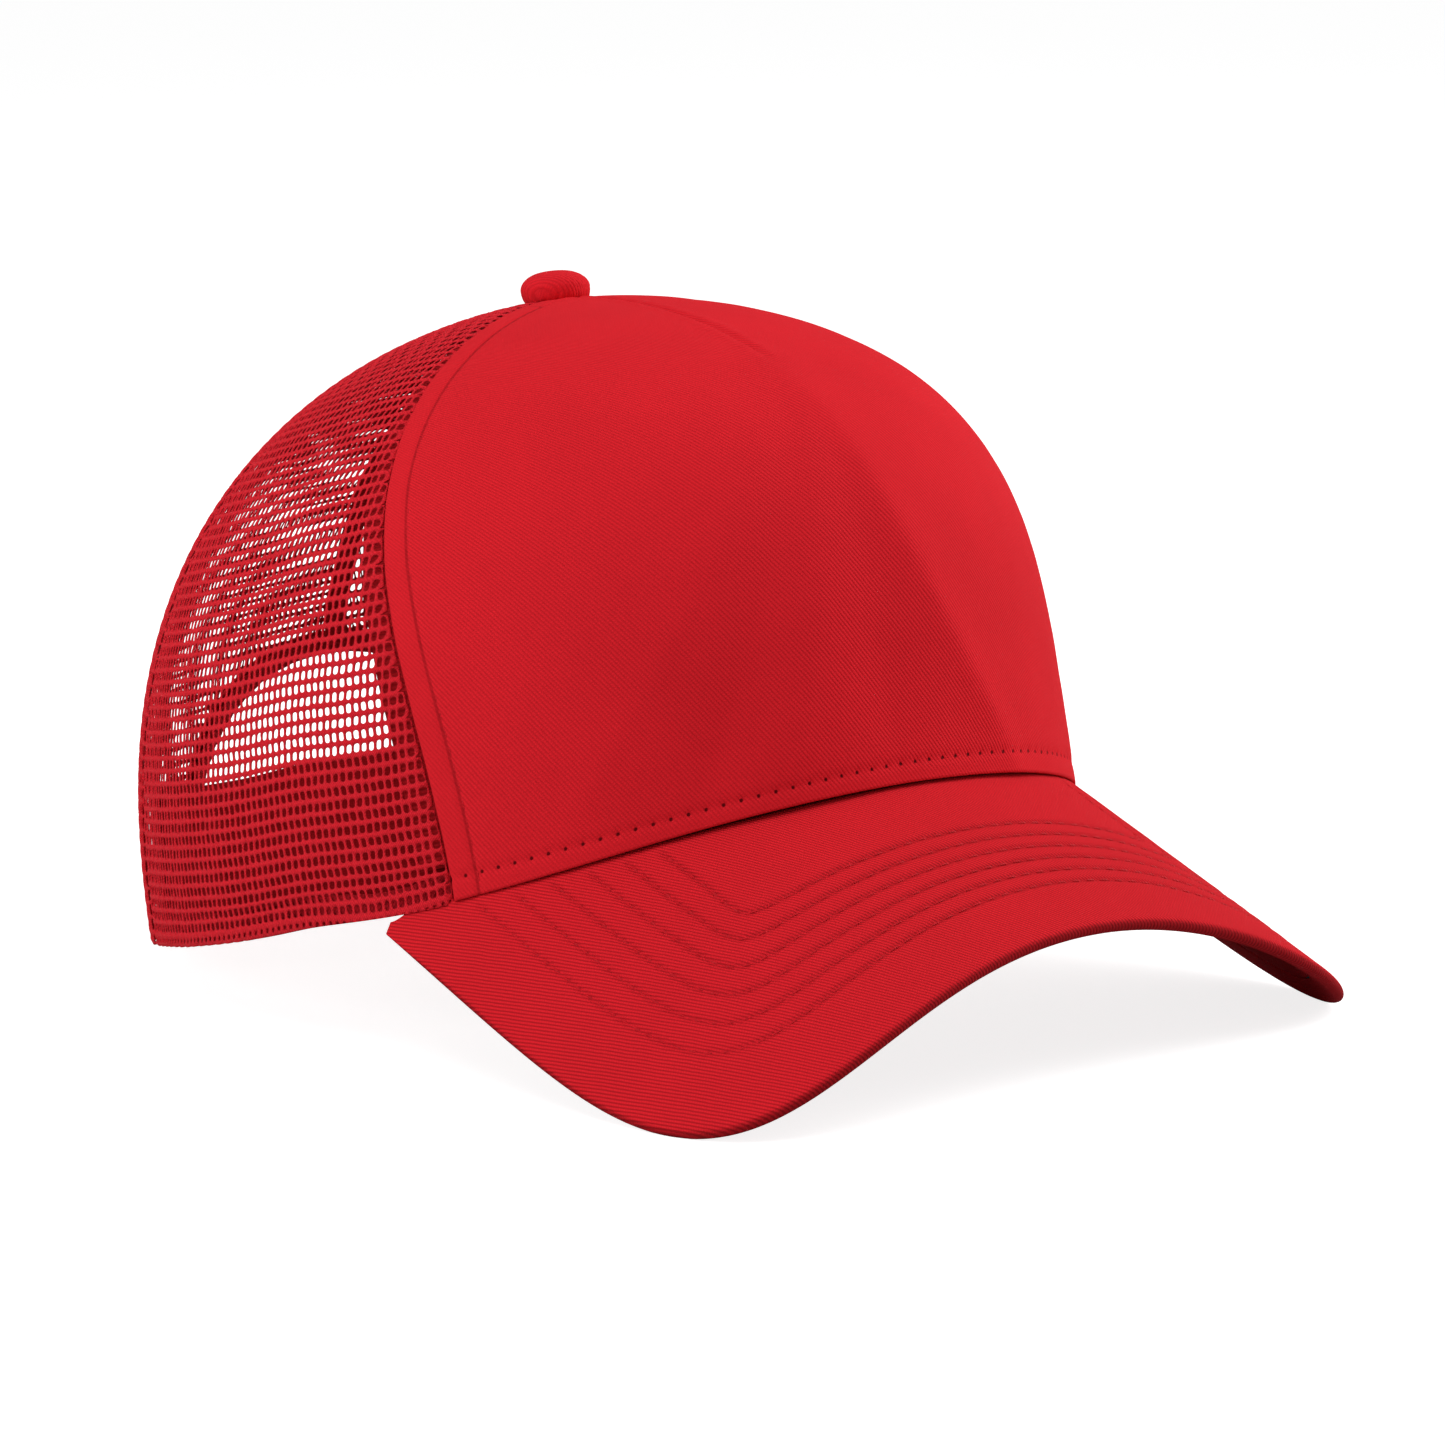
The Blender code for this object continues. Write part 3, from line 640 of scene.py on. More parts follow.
# Half the gap between panels at a seam, how far edges roll in and how deep, the sunk lines of the
# sewing, and the height and shape of the dart's point
HALF_SEAM_GAP = 0.2 * MM
HEM_ROLL = 0.7 * MM
SEAM_ROLL = 0.6 * MM
EDGE_ROLL_DEPTH = 0.5 * MM
STRIP_RISE = 0.12 * MM
TOPSTITCH_SINK = 0.28 * MM
HEM_GROOVE = 0.16 * MM
NEEDLE_DIMPLE = 0.30 * MM
DART_GROOVE = 0.42 * MM
DART_PUCKER = 0.20 * MM
DART_POINT = 94.6 * MM
DART_POINT_RISE = 0.8 * MM
STIFFENER_DEPTH = 1.1 * MM
STIFFENER_CLOTH = 0.45 * MM
TOPSTITCH_END = 0.9

top_at_front = skin.points[int(-Skin.first_angle)]
dart_climb = float(np.interp(DART_POINT, top_at_front[:, 2], skin.shares)) * skin.length(0.0)


def ease(value):
    """From 0 to 1 with a soft start and a soft end."""
    value = np.clip(value, 0, 1)
    return value * value * (3 - 2 * value)


# The stiffened front bends along lines that fan out from the dart's point down to the hem. Each is
# the angle it would reach at the hem, how late it turns that way, its height, and its half width.
FRONT_FOLDS = (
    (19.0, 2.0, 1.65 * MM, 9 * MM),
    (-2.0, 1.0, -0.75 * MM, 9 * MM),
    (-16.0, 1.0, 0.55 * MM, 8 * MM),
    (-28.0, 1.0, -0.60 * MM, 9 * MM),
    (-46.0, 1.0, 0.35 * MM, 11 * MM),
)
FOLD_ROUNDING = 2.5 * MM


def broad_relief(angle, climb):
    """The stiffened front's soft folds below the dart, in metres outwards."""
    below = np.clip((dart_climb - climb) / dart_climb, 0, 1)
    fade = ease(below / 0.15) * (0.45 + 0.55 * ease(climb / (16 * MM)))
    relief = np.zeros(np.broadcast(angle, climb).shape)
    for at_hem, bend, height, width in FRONT_FOLDS:
        across = np.radians(angle - at_hem * below**bend) * FRONT_REACH
        away = np.sqrt(across**2 + FOLD_ROUNDING**2) - FOLD_ROUNDING
        relief = relief + height * np.exp(-away / width)
    return relief * fade


def grain(points, size, amount, seed=0.0):
    """Smooth seeded unevenness at each point."""
    shape = points.shape[:-1]
    flat = points.reshape(-1, 3) / size + seed
    values = np.array([noise.noise(Vector(p)) for p in flat])
    return amount * values.reshape(shape)


def rounded_edge(share):
    """How far a rounded edge falls away, from 1 at the edge itself to 0 where the cloth is flat."""
    return 1 - np.sqrt(1 - (1 - np.clip(share, 0, 1)) ** 2)


def hem_lift(angle):
    """How far the panel's lower edge stands off the visor: most where the visor bends away from it."""
    return 0.30 * MM + 0.95 * MM * bell(angle + 24, 26) + 0.25 * MM * bell(angle - 12, 26)


def front_cloth():
    share = np.concatenate([np.linspace(0, 0.09, 26), np.linspace(0.09, 1, 120)[1:]])
    share = share * (1 - FRONT_TOP_GAP / skin.length(0.0))
    half = front_seam(share)
    gap = np.degrees(HALF_SEAM_GAP / skin.radius(half, share))
    edge = signed_power(np.linspace(-1, 1, 301), 0.93)
    columns = len(edge)
    angle = edge[None, :] * (half - gap)[:, None]
    rows = share[:, None] * np.ones(columns)
    points = skin.sample(skin.points, angle, rows)
    steps = np.linalg.norm(np.diff(points, axis=1), axis=-1)
    run = np.concatenate([np.zeros((len(share), 1)), np.cumsum(steps, axis=1)], axis=1)
    from_middle = run - run[:, columns // 2, None]
    from_seam = np.minimum(run, run[:, -1:] - run)
    climb = rows * skin.length(angle)
    climb = climb + hem_lift(angle) * bell(climb, 6 * MM)

    relief = broad_relief(angle, climb)
    waves = grain(points, 14 * MM, 0.16 * MM) + grain(points, 5 * MM, 0.05 * MM, 3.0)
    relief += waves * ease(from_seam / (8 * MM)) * ease(climb / (10 * MM))
    # a smooth strip of double cloth between the seam and its sunk topstitch
    strip = 1 - ease((from_seam - SEAM_STRIP + 0.5 * MM) / (1.0 * MM))
    narrow = ease(run[:, -1:] / (40 * MM))
    relief += STRIP_RISE * strip * narrow
    relief -= TOPSTITCH_SINK * bell(from_seam - SEAM_STRIP, 0.55 * MM) * narrow
    relief += 0.04 * MM * strip * np.sin(climb / (2.4 * MM)) * narrow
    # edges roll in at the seams and at the hem
    relief -= EDGE_ROLL_DEPTH * rounded_edge(from_seam / SEAM_ROLL)
    relief -= EDGE_ROLL_DEPTH * rounded_edge(climb / HEM_ROLL)
    # the sweatband's stitches pull a soft groove above the hem
    relief -= HEM_GROOVE * bell(climb - HEM_STITCH, 1.1 * MM)
    dip = bell(np.mod(from_middle, STITCH_PITCH) - STITCH_PITCH / 2, 0.42 * MM)
    relief -= NEEDLE_DIMPLE * dip * bell(climb - HEM_STITCH, 0.5 * MM)
    # the dart: a puckered groove from the button down to its point
    above = ease((climb - dart_climb + 2 * MM) / (9 * MM))
    pucker = 1 + 0.35 * np.sin(climb / (0.9 * MM))
    relief -= DART_GROOVE * above * bell(from_middle, 0.75 * MM)
    relief += DART_PUCKER * above * pucker * bell(np.abs(from_middle) - 1.9 * MM, 1.3 * MM)
    tip = bell(climb - dart_climb, 9 * MM) * bell(from_middle, 8 * MM)
    relief += DART_POINT_RISE * tip

    cloth = np.stack([from_middle, climb, from_seam + 0.1 * (1 - narrow)], axis=-1)
    outer = skin.at(angle, climb, -relief)
    inner_relief = np.minimum(relief, 0.1 * MM)
    inner = skin.at(angle, climb, np.maximum(PANEL_CLOTH, PANEL_CLOTH - inner_relief * 0.8))
    sheet("front_panel_cloth", outer, inner, front_twill, cloth, stands_for=["front_panel"],
          slot="front_twill")

    # the stiffener stops short of every edge and needs only every fourth row and column
    depth = STIFFENER_DEPTH - np.minimum(relief, 0.0)
    part = (slice(5, None, 4), slice(4, -4, 4))
    outer = skin.at(angle, climb, depth)[part]
    inner = skin.at(angle, climb, depth + STIFFENER_CLOTH)[part]
    sheet("front_stiffener", outer, inner, buckram, cloth[part], stands_for=["front_buckram"],
          slot="buckram")

    # topstitching beside both seams
    rising = np.linspace(0.012, 0.965, 400)
    rising = rising[rising < TOPSTITCH_END]
    inset = np.degrees(SEAM_STRIP / skin.radius(front_seam(rising), rising))
    for side, name in ((1, "left"), (-1, "right")):
        seam = side * (front_seam(rising) - inset)
        up = rising * skin.length(seam)
        path = skin.at(seam, up, 0.24 * MM - broad_relief(seam, up))
        stitches("front_topstitch_" + name, path, skin.normal(seam, up), lift=0.0, radius=0.17 * MM)


front_cloth()


# ---------------------------------------------------------------- knit mesh panels

# Depths of the threads' outer face, the hole's outer and inner edges, and the threads' inner face
KNIT_DEPTHS = (-0.10 * MM, 0.02 * MM, 0.16 * MM, 0.24 * MM)
# The rows are level at the hem and slope fully from these climbs up; the slope fades out again over
# the last stretch below the button
REAR_LEVEL_BELOW = 60 * MM
SIDE_LEVEL_BELOW = 12 * MM
LEVEL_ABOVE = 60 * MM
# Holes close up towards the hem, and where the rear panels are gathered towards the button
HEM_CLOSES_BELOW = 4.5 * MM
GATHERS_FROM = 92 * MM
GATHERS_OVER = 18 * MM
# Radius of the hem's fold and its rows; the hem's sag, its distance from the front seam, which is also
# its half width, and how far up it reaches
MESH_FOLD = 0.8 * MM
MESH_FOLD_ROWS = 2
HEM_SAG = 1.9 * MM
HEM_SAG_PLACE = 14 * MM
HEM_SAG_REACH = 9 * MM
MESH_SEAM_ROLL = 1.5 * MM
MESH_TOP_RADIUS = 5.0 * MM
# A hole's two edges, larger outside; the power that squares off its corners
HOLE_SWELL = (1.05, 1.0)
HOLE_ROUNDING = 2 / 2.7
# Points round one cell, as halves of a stitch across and thirds of a row up
CELL_EDGE = ((0, 0), (1, 0), (2, 0), (2, 1), (2, 2), (2, 3), (1, 3), (0, 3), (0, 2), (0, 1))


def arch_edge(angle):
    """Height of the arched opening's edge at an angle."""
    off = np.clip(np.abs(BACK_SEAM - np.abs(angle)) / ARCH_HALF_ANGLE, 0, 1)
    return ARCH_HEIGHT * np.sqrt(1 - off**2)


def hole_rings(ring, cells, corner_u, corner_v, size, tight):
    """Two rings of points for each cell's hole: rounded, slanted, a little uneven from hole to hole."""
    swing = np.where(cells[:, 1] % 2 == 0, 1.0, -0.35) * KNIT_SLANT
    jitter = random.normal(0, 1, (len(cells), 4))
    centre_angle = np.arctan2((ring[:, 1] / 1.5 - 1) * 1.2, ring[:, 0] - 1)
    hole_u = signed_power(np.cos(centre_angle), HOLE_ROUNDING)
    hole_v = signed_power(np.sin(centre_angle), HOLE_ROUNDING)
    rings_u, rings_v = [], []
    for swell in HOLE_SWELL:
        size_u = size[0] * swell * (1 + 0.07 * jitter[:, 0]) * (1 - 0.55 * tight)
        size_v = size[1] * swell * (1 + 0.05 * jitter[:, 1]) * (1 - 0.65 * tight)
        b = hole_v[None, :] * size_v[:, None] + 0.03 * jitter[:, 2, None]
        a = hole_u[None, :] * size_u[:, None] + (swing[:, None] + 0.05 * jitter[:, 3, None]) * b
        left = corner_u[:, [0]] * (1 - b) / 2 + corner_u[:, [3]] * (1 + b) / 2
        right = corner_u[:, [1]] * (1 - b) / 2 + corner_u[:, [2]] * (1 + b) / 2
        low = (corner_v[:, [0]] + corner_v[:, [1]]) * (1 - b) / 4
        rings_u.append(left * (1 - a) / 2 + right * (1 + a) / 2)
        rings_v.append(low + (corner_v[:, [2]] + corner_v[:, [3]]) * (1 + b) / 4)
    return rings_u, rings_v


def knit_faces(index, count):
    """Three bands of faces round each cell's hole, then the walls of the panel's own rim."""
    cells, size = index.shape
    base = 2 * count + np.arange(cells)[:, None] * size + np.arange(size)[None, :]
    bands = [index, base, base + cells * size, index + count]
    faces = []
    for inner, outer in zip(bands[1:], bands[:-1]):
        ahead = np.roll(outer, -1, axis=1), np.roll(inner, -1, axis=1)
        faces.append(np.stack([outer, *ahead, inner], axis=-1).reshape(-1, 4))
    walls = [(b, a, a + count, b + count) for a, b in sorted(open_edges(index.tolist()))]
    return np.concatenate(faces + [np.array(walls)])


def pushed_out_of_arch(angle, climb):
    """Points inside the arched opening, moved out to its edge."""
    reach = np.hypot((BACK_SEAM - angle) / ARCH_HALF_ANGLE, climb / ARCH_HEIGHT)
    push = np.where(reach < 1, 1 / np.maximum(reach, 0.2), 1.0)
    return BACK_SEAM - (BACK_SEAM - angle) * push, climb * push


def knit_panel(name, side, middle, near_edge, far_edge, arched, stands_for):
    """A mesh panel: cells between two seams, each with its hole, wrapped on the crown."""
    length = skin.length(middle)
    first_row = -MESH_FOLD_ROWS - 1
    stretch = REAR_STRETCH if arched else 1.0
    pitch = KNIT_PITCH * stretch
    row_pitch = KNIT_ROW * stretch
    level_below = REAR_LEVEL_BELOW if arched else SIDE_LEVEL_BELOW
    hole = REAR_KNIT_HOLE if arched else KNIT_HOLE

    def around(v):
        return skin.radius(middle, np.clip(v / length, 0, 0.999))

    def edges(v):
        share = np.clip(v / length, 0, 1)
        near = np.radians(near_edge(share) - middle) * around(v) + HALF_SEAM_GAP
        far = np.radians(far_edge(share) - middle) * around(v) - HALF_SEAM_GAP
        return near, far

    def climbed(u, v):
        """How far a row has climbed across the panel; level at the hem and at the button."""
        near, far = edges(v)
        run = far - u
        if arched and side < 0:
            run = u - near
        tilt = REAR_ROW_CLIMB if arched else SIDE_ROW_CLIMB
        return tilt * run * ease(v / level_below) * ease((length - v) / LEVEL_ABOVE)

    cells = []
    for row in range(first_row, int(length / row_pitch)):
        v = (row + 0.5) * row_pitch
        if around(v) < MESH_TOP_RADIUS:
            continue
        near, far = edges(np.array(v))
        column = np.arange(int(near / pitch) - 2, int(far / pitch) + 2)
        u = (column + 0.5) * pitch
        keep = (u > near) & (u < far)
        angle = middle + np.degrees(u / around(v))
        if arched:
            keep &= v + climbed(u, np.array(v)) > arch_edge(angle)
            keep &= ~((v < 1.5 * MM) & (angle > BACK_SEAM - ARCH_HALF_ANGLE))
        cells += [(c, row) for c in column[keep]]
    cells = np.array(cells)

    ring = np.array(CELL_EDGE)
    keys = cells[:, None, :] * (2, 3) + ring[None, :, :]
    flat = keys.reshape(-1, 2)
    code = flat[:, 0] * 100000 + flat[:, 1]
    _, first, index = np.unique(code, return_index=True, return_inverse=True)
    index = index.reshape(len(cells), len(ring))
    spots = flat[first]
    u = spots[:, 0] * pitch / 2
    v = spots[:, 1] * row_pitch / 3
    near, far = edges(v)
    levels, where = np.unique(spots[:, 1], return_inverse=True)
    lowest = np.full(len(levels), 10**6)
    highest = np.full(len(levels), -(10**6))
    np.minimum.at(lowest, where, spots[:, 0])
    np.maximum.at(highest, where, spots[:, 0])
    u = np.where(spots[:, 0] == lowest[where], near, u)
    at_far = spots[:, 0] == highest[where]
    if arched:
        at_far &= v + climbed(far, v) > ARCH_HEIGHT - row_pitch
    u = np.where(at_far, far, u)
    # rows of loops wander a little
    u = u + 0.07 * MM * np.sin(spots[:, 1] * 2.1 + spots[:, 0] * 0.37)
    v = v + 0.06 * MM * np.sin(spots[:, 0] * 1.3 + spots[:, 1] * 0.9)

    corners = index[:, [0, 2, 5, 7]]
    tight = ease((HEM_CLOSES_BELOW - (cells[:, 1] + 0.5) * row_pitch) / (2 * row_pitch))
    if arched:
        # the holes close up again where the panel is gathered towards the button
        tight = np.maximum(tight, ease((cells[:, 1] * row_pitch - GATHERS_FROM) / GATHERS_OVER))
    wider = (stretch - 1) * KNIT_PITCH / 2
    taller = (stretch - 1) * KNIT_ROW / 2
    hole_size = ((hole[0] + wider) / pitch * 2, (hole[1] + taller) / row_pitch * 2)
    rings_u, rings_v = hole_rings(ring, cells, u[corners], v[corners], hole_size, tight)

    count = len(spots)
    all_u = np.concatenate([u, u] + [r.ravel() for r in rings_u])
    all_v = np.concatenate([v, v] + [r.ravel() for r in rings_v])
    bar = 0.10 * MM * np.cos(spots[:, 0] * math.pi / 2 + spots[:, 1])
    depth = [KNIT_DEPTHS[0] + bar, KNIT_DEPTHS[3] + bar * 0.3]
    depth += [np.full(r.size, d) for r, d in zip(rings_u, KNIT_DEPTHS[1:3])]
    depth = np.concatenate(depth)
    # hollow is the amount of painted shade: none on the threads' outer face, most on each hole's inner edge
    hollow = np.concatenate([np.zeros(count), np.full(count, 0.5)]
                            + [np.full(r.size, h) for r, h in zip(rings_u, (0.35, 1.0))])

    faces = knit_faces(index, count)
    near, far = edges(all_v)
    angle = middle + np.degrees(all_u / around(all_v))
    from_seam = np.maximum(np.minimum(all_u - near, far - all_u), 0)
    roll = np.clip(1 - from_seam / MESH_SEAM_ROLL, 0, 1) ** 2 * 0.75 * MM
    depth = depth + roll
    climb, depth = fold_hem(all_v, depth)
    climb = climb + climbed(all_u, all_v)
    if not arched:
        # the hem sags over the visor's sewn-in corner
        sag = bell(all_u - near - HEM_SAG_PLACE, HEM_SAG_PLACE) * ease(1 - all_v / HEM_SAG_REACH)
        climb = climb - HEM_SAG * sag
    else:
        angle, climb = pushed_out_of_arch(angle, climb)
    points = skin.at(side * angle, climb, depth)
    if side < 0:
        faces = faces[:, ::-1]
    cloth = np.stack([all_u, all_v, hollow], axis=-1)
    new_object(name, points, faces, knit, stands_for=stands_for, cloth=cloth, slot="mesh_knit")


def fold_hem(v, depth):
    """Cloth height to climb and depth, where the lower rows fold under and back up inside."""
    turn = np.clip((MESH_FOLD - v) / MESH_FOLD, 0, math.pi)
    past = np.maximum(MESH_FOLD - math.pi * MESH_FOLD - v, 0)
    ruffle = 0.14 * MM * bell(v - 0.5 * MM, 2.2 * MM) * np.sin(v * 5000 + depth * 9000)
    radius = MESH_FOLD - depth
    climb = MESH_FOLD - radius * np.sin(turn) + past
    climb = np.where(v > MESH_FOLD, v, climb)
    folded = MESH_FOLD - radius * np.cos(turn)
    return climb, np.where(v > MESH_FOLD, depth, folded) + ruffle


def side_seam(share):
    return np.full(np.shape(share), SIDE_SEAM)


def back_seam(share):
    return np.full(np.shape(share), BACK_SEAM)


for side, hand in ((1, "left"), (-1, "right")):
    knit_panel("side_knit_" + hand, side, 86.0, front_seam, side_seam, False, ["side_mesh_" + hand])
    knit_panel("rear_knit_" + hand, side, 148.0, side_seam, back_seam, True, ["rear_mesh_" + hand])


# ---------------------------------------------------------------- bands inside the crown

TAPE_DEPTH = 2.1 * MM
TAPE_THICKNESS = 0.45 * MM
TAPE_HALF_WIDTH = 6.2 * MM
CENTRE_TAPE_HALF_WIDTH = 3 * MM
TAPE_END_RADIUS = 5 * MM
TAPE_END_TAPER = 21.0
SWEATBAND_DEPTH = 3.1 * MM
SWEATBAND_THICKNESS = 1.2 * MM
SWEATBAND_HEIGHT = 31.3 * MM
SWEATBAND_END = 147.0
SWEATBAND_RADIUS = 93 * MM
SWEATBAND_STITCH = 27 * MM
BINDING_WIDTH = 4.3 * MM
BINDING_STITCH = 3.0 * MM
# Depths of the binding's outer and inner face, its cloth, and the sizes of its fold
BINDING_DEPTHS = (-0.85 * MM, 1.75 * MM)
BINDING_CLOTH = 0.5 * MM
BINDING_FOLD = 0.8 * MM
BINDING_FOLD_INSIDE = 0.9 * MM


def seam_tape(name, seam, side, half_width, low_climb, stands_for):
    """A ribbon behind a seam; its stitching shows as two rows of dashes inside."""
    low = low_climb / skin.length(seam(0.3))
    share = np.linspace(low, 1 - TAPE_END_RADIUS / skin.length(seam(0.9)), 150)
    centre = seam(share)
    across = np.linspace(-1, 1, 25)
    half = np.minimum(np.degrees(half_width / skin.radius(centre, share)), TAPE_END_TAPER)
    angle = centre[:, None] + across[None, :] * half[:, None]
    climb = share[:, None] * skin.length(angle)
    ridge = -0.25 * MM * bell(across, 0.12) + 0.12 * MM * bell(np.abs(across) - 0.62, 0.06)
    waves = 0.10 * MM * np.sin(climb / (3.1 * MM) + 4 * across[None, :])
    edge = 0.16 * MM * bell(np.abs(across) - 1, 0.06)
    outer = skin.at(side * angle, climb, TAPE_DEPTH + waves + (edge - 0.5 * ridge)[None, :])
    inner = skin.at(side * angle, climb, TAPE_DEPTH + TAPE_THICKNESS + waves - (edge + ridge)[None, :])
    cloth = np.stack([across[None, :] * half[:, None] * 1.4 * MM, climb, 0 * climb], axis=-1)
    if side < 0:
        outer, inner, cloth = outer[:, ::-1], inner[:, ::-1], cloth[:, ::-1]
    sheet(name, outer, inner, ribbon, cloth, stands_for=stands_for, slot="seam_ribbon")
    for row, offset in enumerate((-0.64 * half_width, 0.64 * half_width)):
        at = centre + np.degrees(offset / skin.radius(centre, share))
        keep = np.abs(at - centre) < half * 0.8
        up = (share * skin.length(at))[keep]
        at = side * at[keep]
        path = skin.at(at, up, TAPE_DEPTH + TAPE_THICKNESS + 0.02 * MM)
        stitches(f"{name}_stitch_{row + 1}", path, -skin.normal(at, up), lift=0.4)


for side, hand in ((1, "left"), (-1, "right")):
    seam_tape("front_ribbon_" + hand, front_seam, side, TAPE_HALF_WIDTH, 7 * MM, ["front_seam_tape_" + hand])
    seam_tape("rear_ribbon_" + hand, side_seam, side, TAPE_HALF_WIDTH, 7 * MM, ["rear_seam_tape_" + hand])
seam_tape("centre_ribbon", back_seam, 1, CENTRE_TAPE_HALF_WIDTH, ARCH_HEIGHT + 2 * MM, ["centre_seam_tape"])


def arch_point(turn, inward):
    """Angle and climb at a turn along the arch, a distance in from its edge."""
    grow = 1 + inward / np.array(ARCH_HEIGHT)
    wide = 1 + inward / (ARCH_HALF_ANGLE * 1.72 * MM)
    return BACK_SEAM - ARCH_HALF_ANGLE * wide * np.cos(turn), ARCH_HEIGHT * grow * np.sin(turn)


def arch_binding():
    """A folded ribbon that wraps the mesh's raw edge round the arch."""
    turn = np.linspace(0.0, math.pi, 221)
    front, back = BINDING_DEPTHS
    thick = BINDING_CLOTH
    middle = (front + back) / 2
    outside = [(w, front) for w in np.linspace(BINDING_WIDTH, BINDING_FOLD, 6)]
    for a in np.linspace(0, math.pi, 9)[1:-1]:
        outside.append((BINDING_FOLD - 1.3 * MM * math.sin(a), middle - (middle - front) * math.cos(a)))
    outside += [(w, back) for w in np.linspace(BINDING_FOLD, BINDING_WIDTH, 6)]
    inside = [(w, back - thick) for w in np.linspace(BINDING_WIDTH, BINDING_FOLD_INSIDE, 6)]
    for a in np.linspace(0, math.pi, 7)[1:-1]:
        width = BINDING_FOLD_INSIDE - BINDING_FOLD * math.sin(a)
        inside.append((width, middle + (middle - front - thick) * math.cos(a)))
    inside += [(w, front + thick) for w in np.linspace(BINDING_FOLD_INSIDE, BINDING_WIDTH, 6)]
    section = np.array(outside + inside)
    width, depth = section[:, 0], section[:, 1]
    angle, climb = arch_point(turn[:, None], width[None, :])
    puff = 0.12 * MM * np.sin(turn * 61)[:, None] * np.sign(middle - depth)[None, :]
    puff = puff + 0.2 * MM * (bell(width - BINDING_STITCH, 0.8 * MM) * np.sign(middle - depth))[None, :]
    points = skin.at(angle, np.maximum(climb, 0.0), depth[None, :] + puff)
    rows, columns = points.shape[:2]
    quads = swept_faces(rows, columns, flip=True)
    half = len(outside)
    for row, flip in ((0, False), (rows - 1, True)):
        for k in range(half - 1):
            cap = [row * columns + j for j in (k, k + 1, columns - 2 - k, columns - 1 - k)]
            quads.append(cap[::-1] if flip else cap)
    run = run_along(points[:, 5])
    cloth = np.stack([width[None, :] + 0 * climb, run[:, None] + 0 * climb, 0 * climb], axis=-1)
    new_object("arch_binding_ribbon", points.reshape(-1, 3), quads, ribbon, stands_for=["arch_binding"],
               cloth=cloth.reshape(-1, 3), slot="seam_ribbon")
    angle, climb = arch_point(turn[4:-4], BINDING_STITCH)
    normals = skin.normal(angle, climb)
    stitches("arch_stitch_outside", skin.at(angle, climb, front + 0.1 * MM), normals, lift=0.3)
    stitches("arch_stitch_inside", skin.at(angle, climb, back - 0.1 * MM), -normals, lift=0.3)


arch_binding()


def sweatband():
    """A folded cotton band: soft rounded top, slight puffs between its stitches, turned ends."""
    angle = np.linspace(-SWEATBAND_END, SWEATBAND_END, 441)
    crowding = np.cos(np.linspace(0, math.pi / 2, 8)[1:])
    heights = np.concatenate([np.linspace(0, 0.86, 26), 1 - 0.14 * crowding])
    climb = (heights * SWEATBAND_HEIGHT)[:, None] * np.ones(len(angle))
    angles = angle[None, :] * np.ones(len(heights))[:, None]
    rise = climb / SWEATBAND_HEIGHT
    puff = 0.30 * MM * np.sin(math.pi * np.clip(rise, 0, 1)) ** 0.7
    ripple = 0.16 * MM * np.sin(np.radians(angles) * 41 + 2 * rise) * ease(rise / 0.3)
    ripple += 0.10 * MM * np.sin(np.radians(angles) * 97 + 5 * rise)
    seam = 0.35 * MM * bell(climb - HEM_STITCH, 0.9 * MM)
    upper = 0.28 * MM * bell(climb - SWEATBAND_STITCH, 0.8 * MM)
    into_top = np.clip((rise - 0.955) / 0.045, 0, 1)
    round_top = SWEATBAND_THICKNESS * 0.46 * (1 - np.sqrt(np.clip(1 - into_top**2, 0, 1)))
    round_end = SWEATBAND_THICKNESS * 0.4 * ease((np.abs(angles) - SWEATBAND_END + 1.2) / 1.2)
    outer = skin.at(angles, climb, SWEATBAND_DEPTH + 0.3 * ripple + round_top + round_end)
    inner = skin.at(angles, climb, SWEATBAND_DEPTH + SWEATBAND_THICKNESS + puff + ripple
                    - seam - upper - round_top - round_end)
    across = np.radians(angles) * SWEATBAND_RADIUS
    cloth = np.stack([across, climb, 0 * climb], axis=-1)
    # the band's face towards the mesh is marked for painted shade
    shaded_side = np.stack([across, climb, 0 * climb + 1], axis=-1)
    sheet("sweatband_cloth", outer, inner, cotton, shaded_side, cloth, stands_for=["sweatband"],
          slot="sweatband_cotton")
    around = np.linspace(-SWEATBAND_END + 1.5, SWEATBAND_END - 1.5, 1600)
    for name, height in (("low", HEM_STITCH), ("high", SWEATBAND_STITCH)):
        climbs = np.full(around.shape, height)
        path = skin.at(around, climbs, SWEATBAND_DEPTH + SWEATBAND_THICKNESS)
        stitches("sweatband_stitch_" + name, path, -skin.normal(around, climbs), lift=0.4)


sweatband()


# ---------------------------------------------------------------- visor

VISOR_ROWS = 6
VISOR_FIRST_ROW = 15.5 * MM
VISOR_ROW_PITCH = 6.0 * MM
VISOR_ROWS_CLOSE_UP = 0.27
VISOR_TUCK = 2.4 * MM
# How deep the stitches sink at the sides, how much deeper at the middle, and the shadow there
VISOR_SINK = 0.14 * MM
VISOR_SINK_MORE = 0.18 * MM
VISOR_SINK_SHADOW = 0.4
VISOR_CLOTH = 0.5 * MM
VISOR_TURN_UNDER = 5 * MM
VISOR_FULL_EDGE = 14 * MM
VISOR_ROOT_ANGLE = FRONT_SEAM + VISOR_PAST_SEAM


def plan_outward(angle):
    """The way out of the head opening, square to the hem seen from above."""
    step = 0.1
    ahead = np.stack(plan(angle + step), axis=-1) - np.stack(plan(angle - step), axis=-1)
    ahead = unit(ahead)
    return np.stack([-ahead[..., 1], ahead[..., 0]], axis=-1)


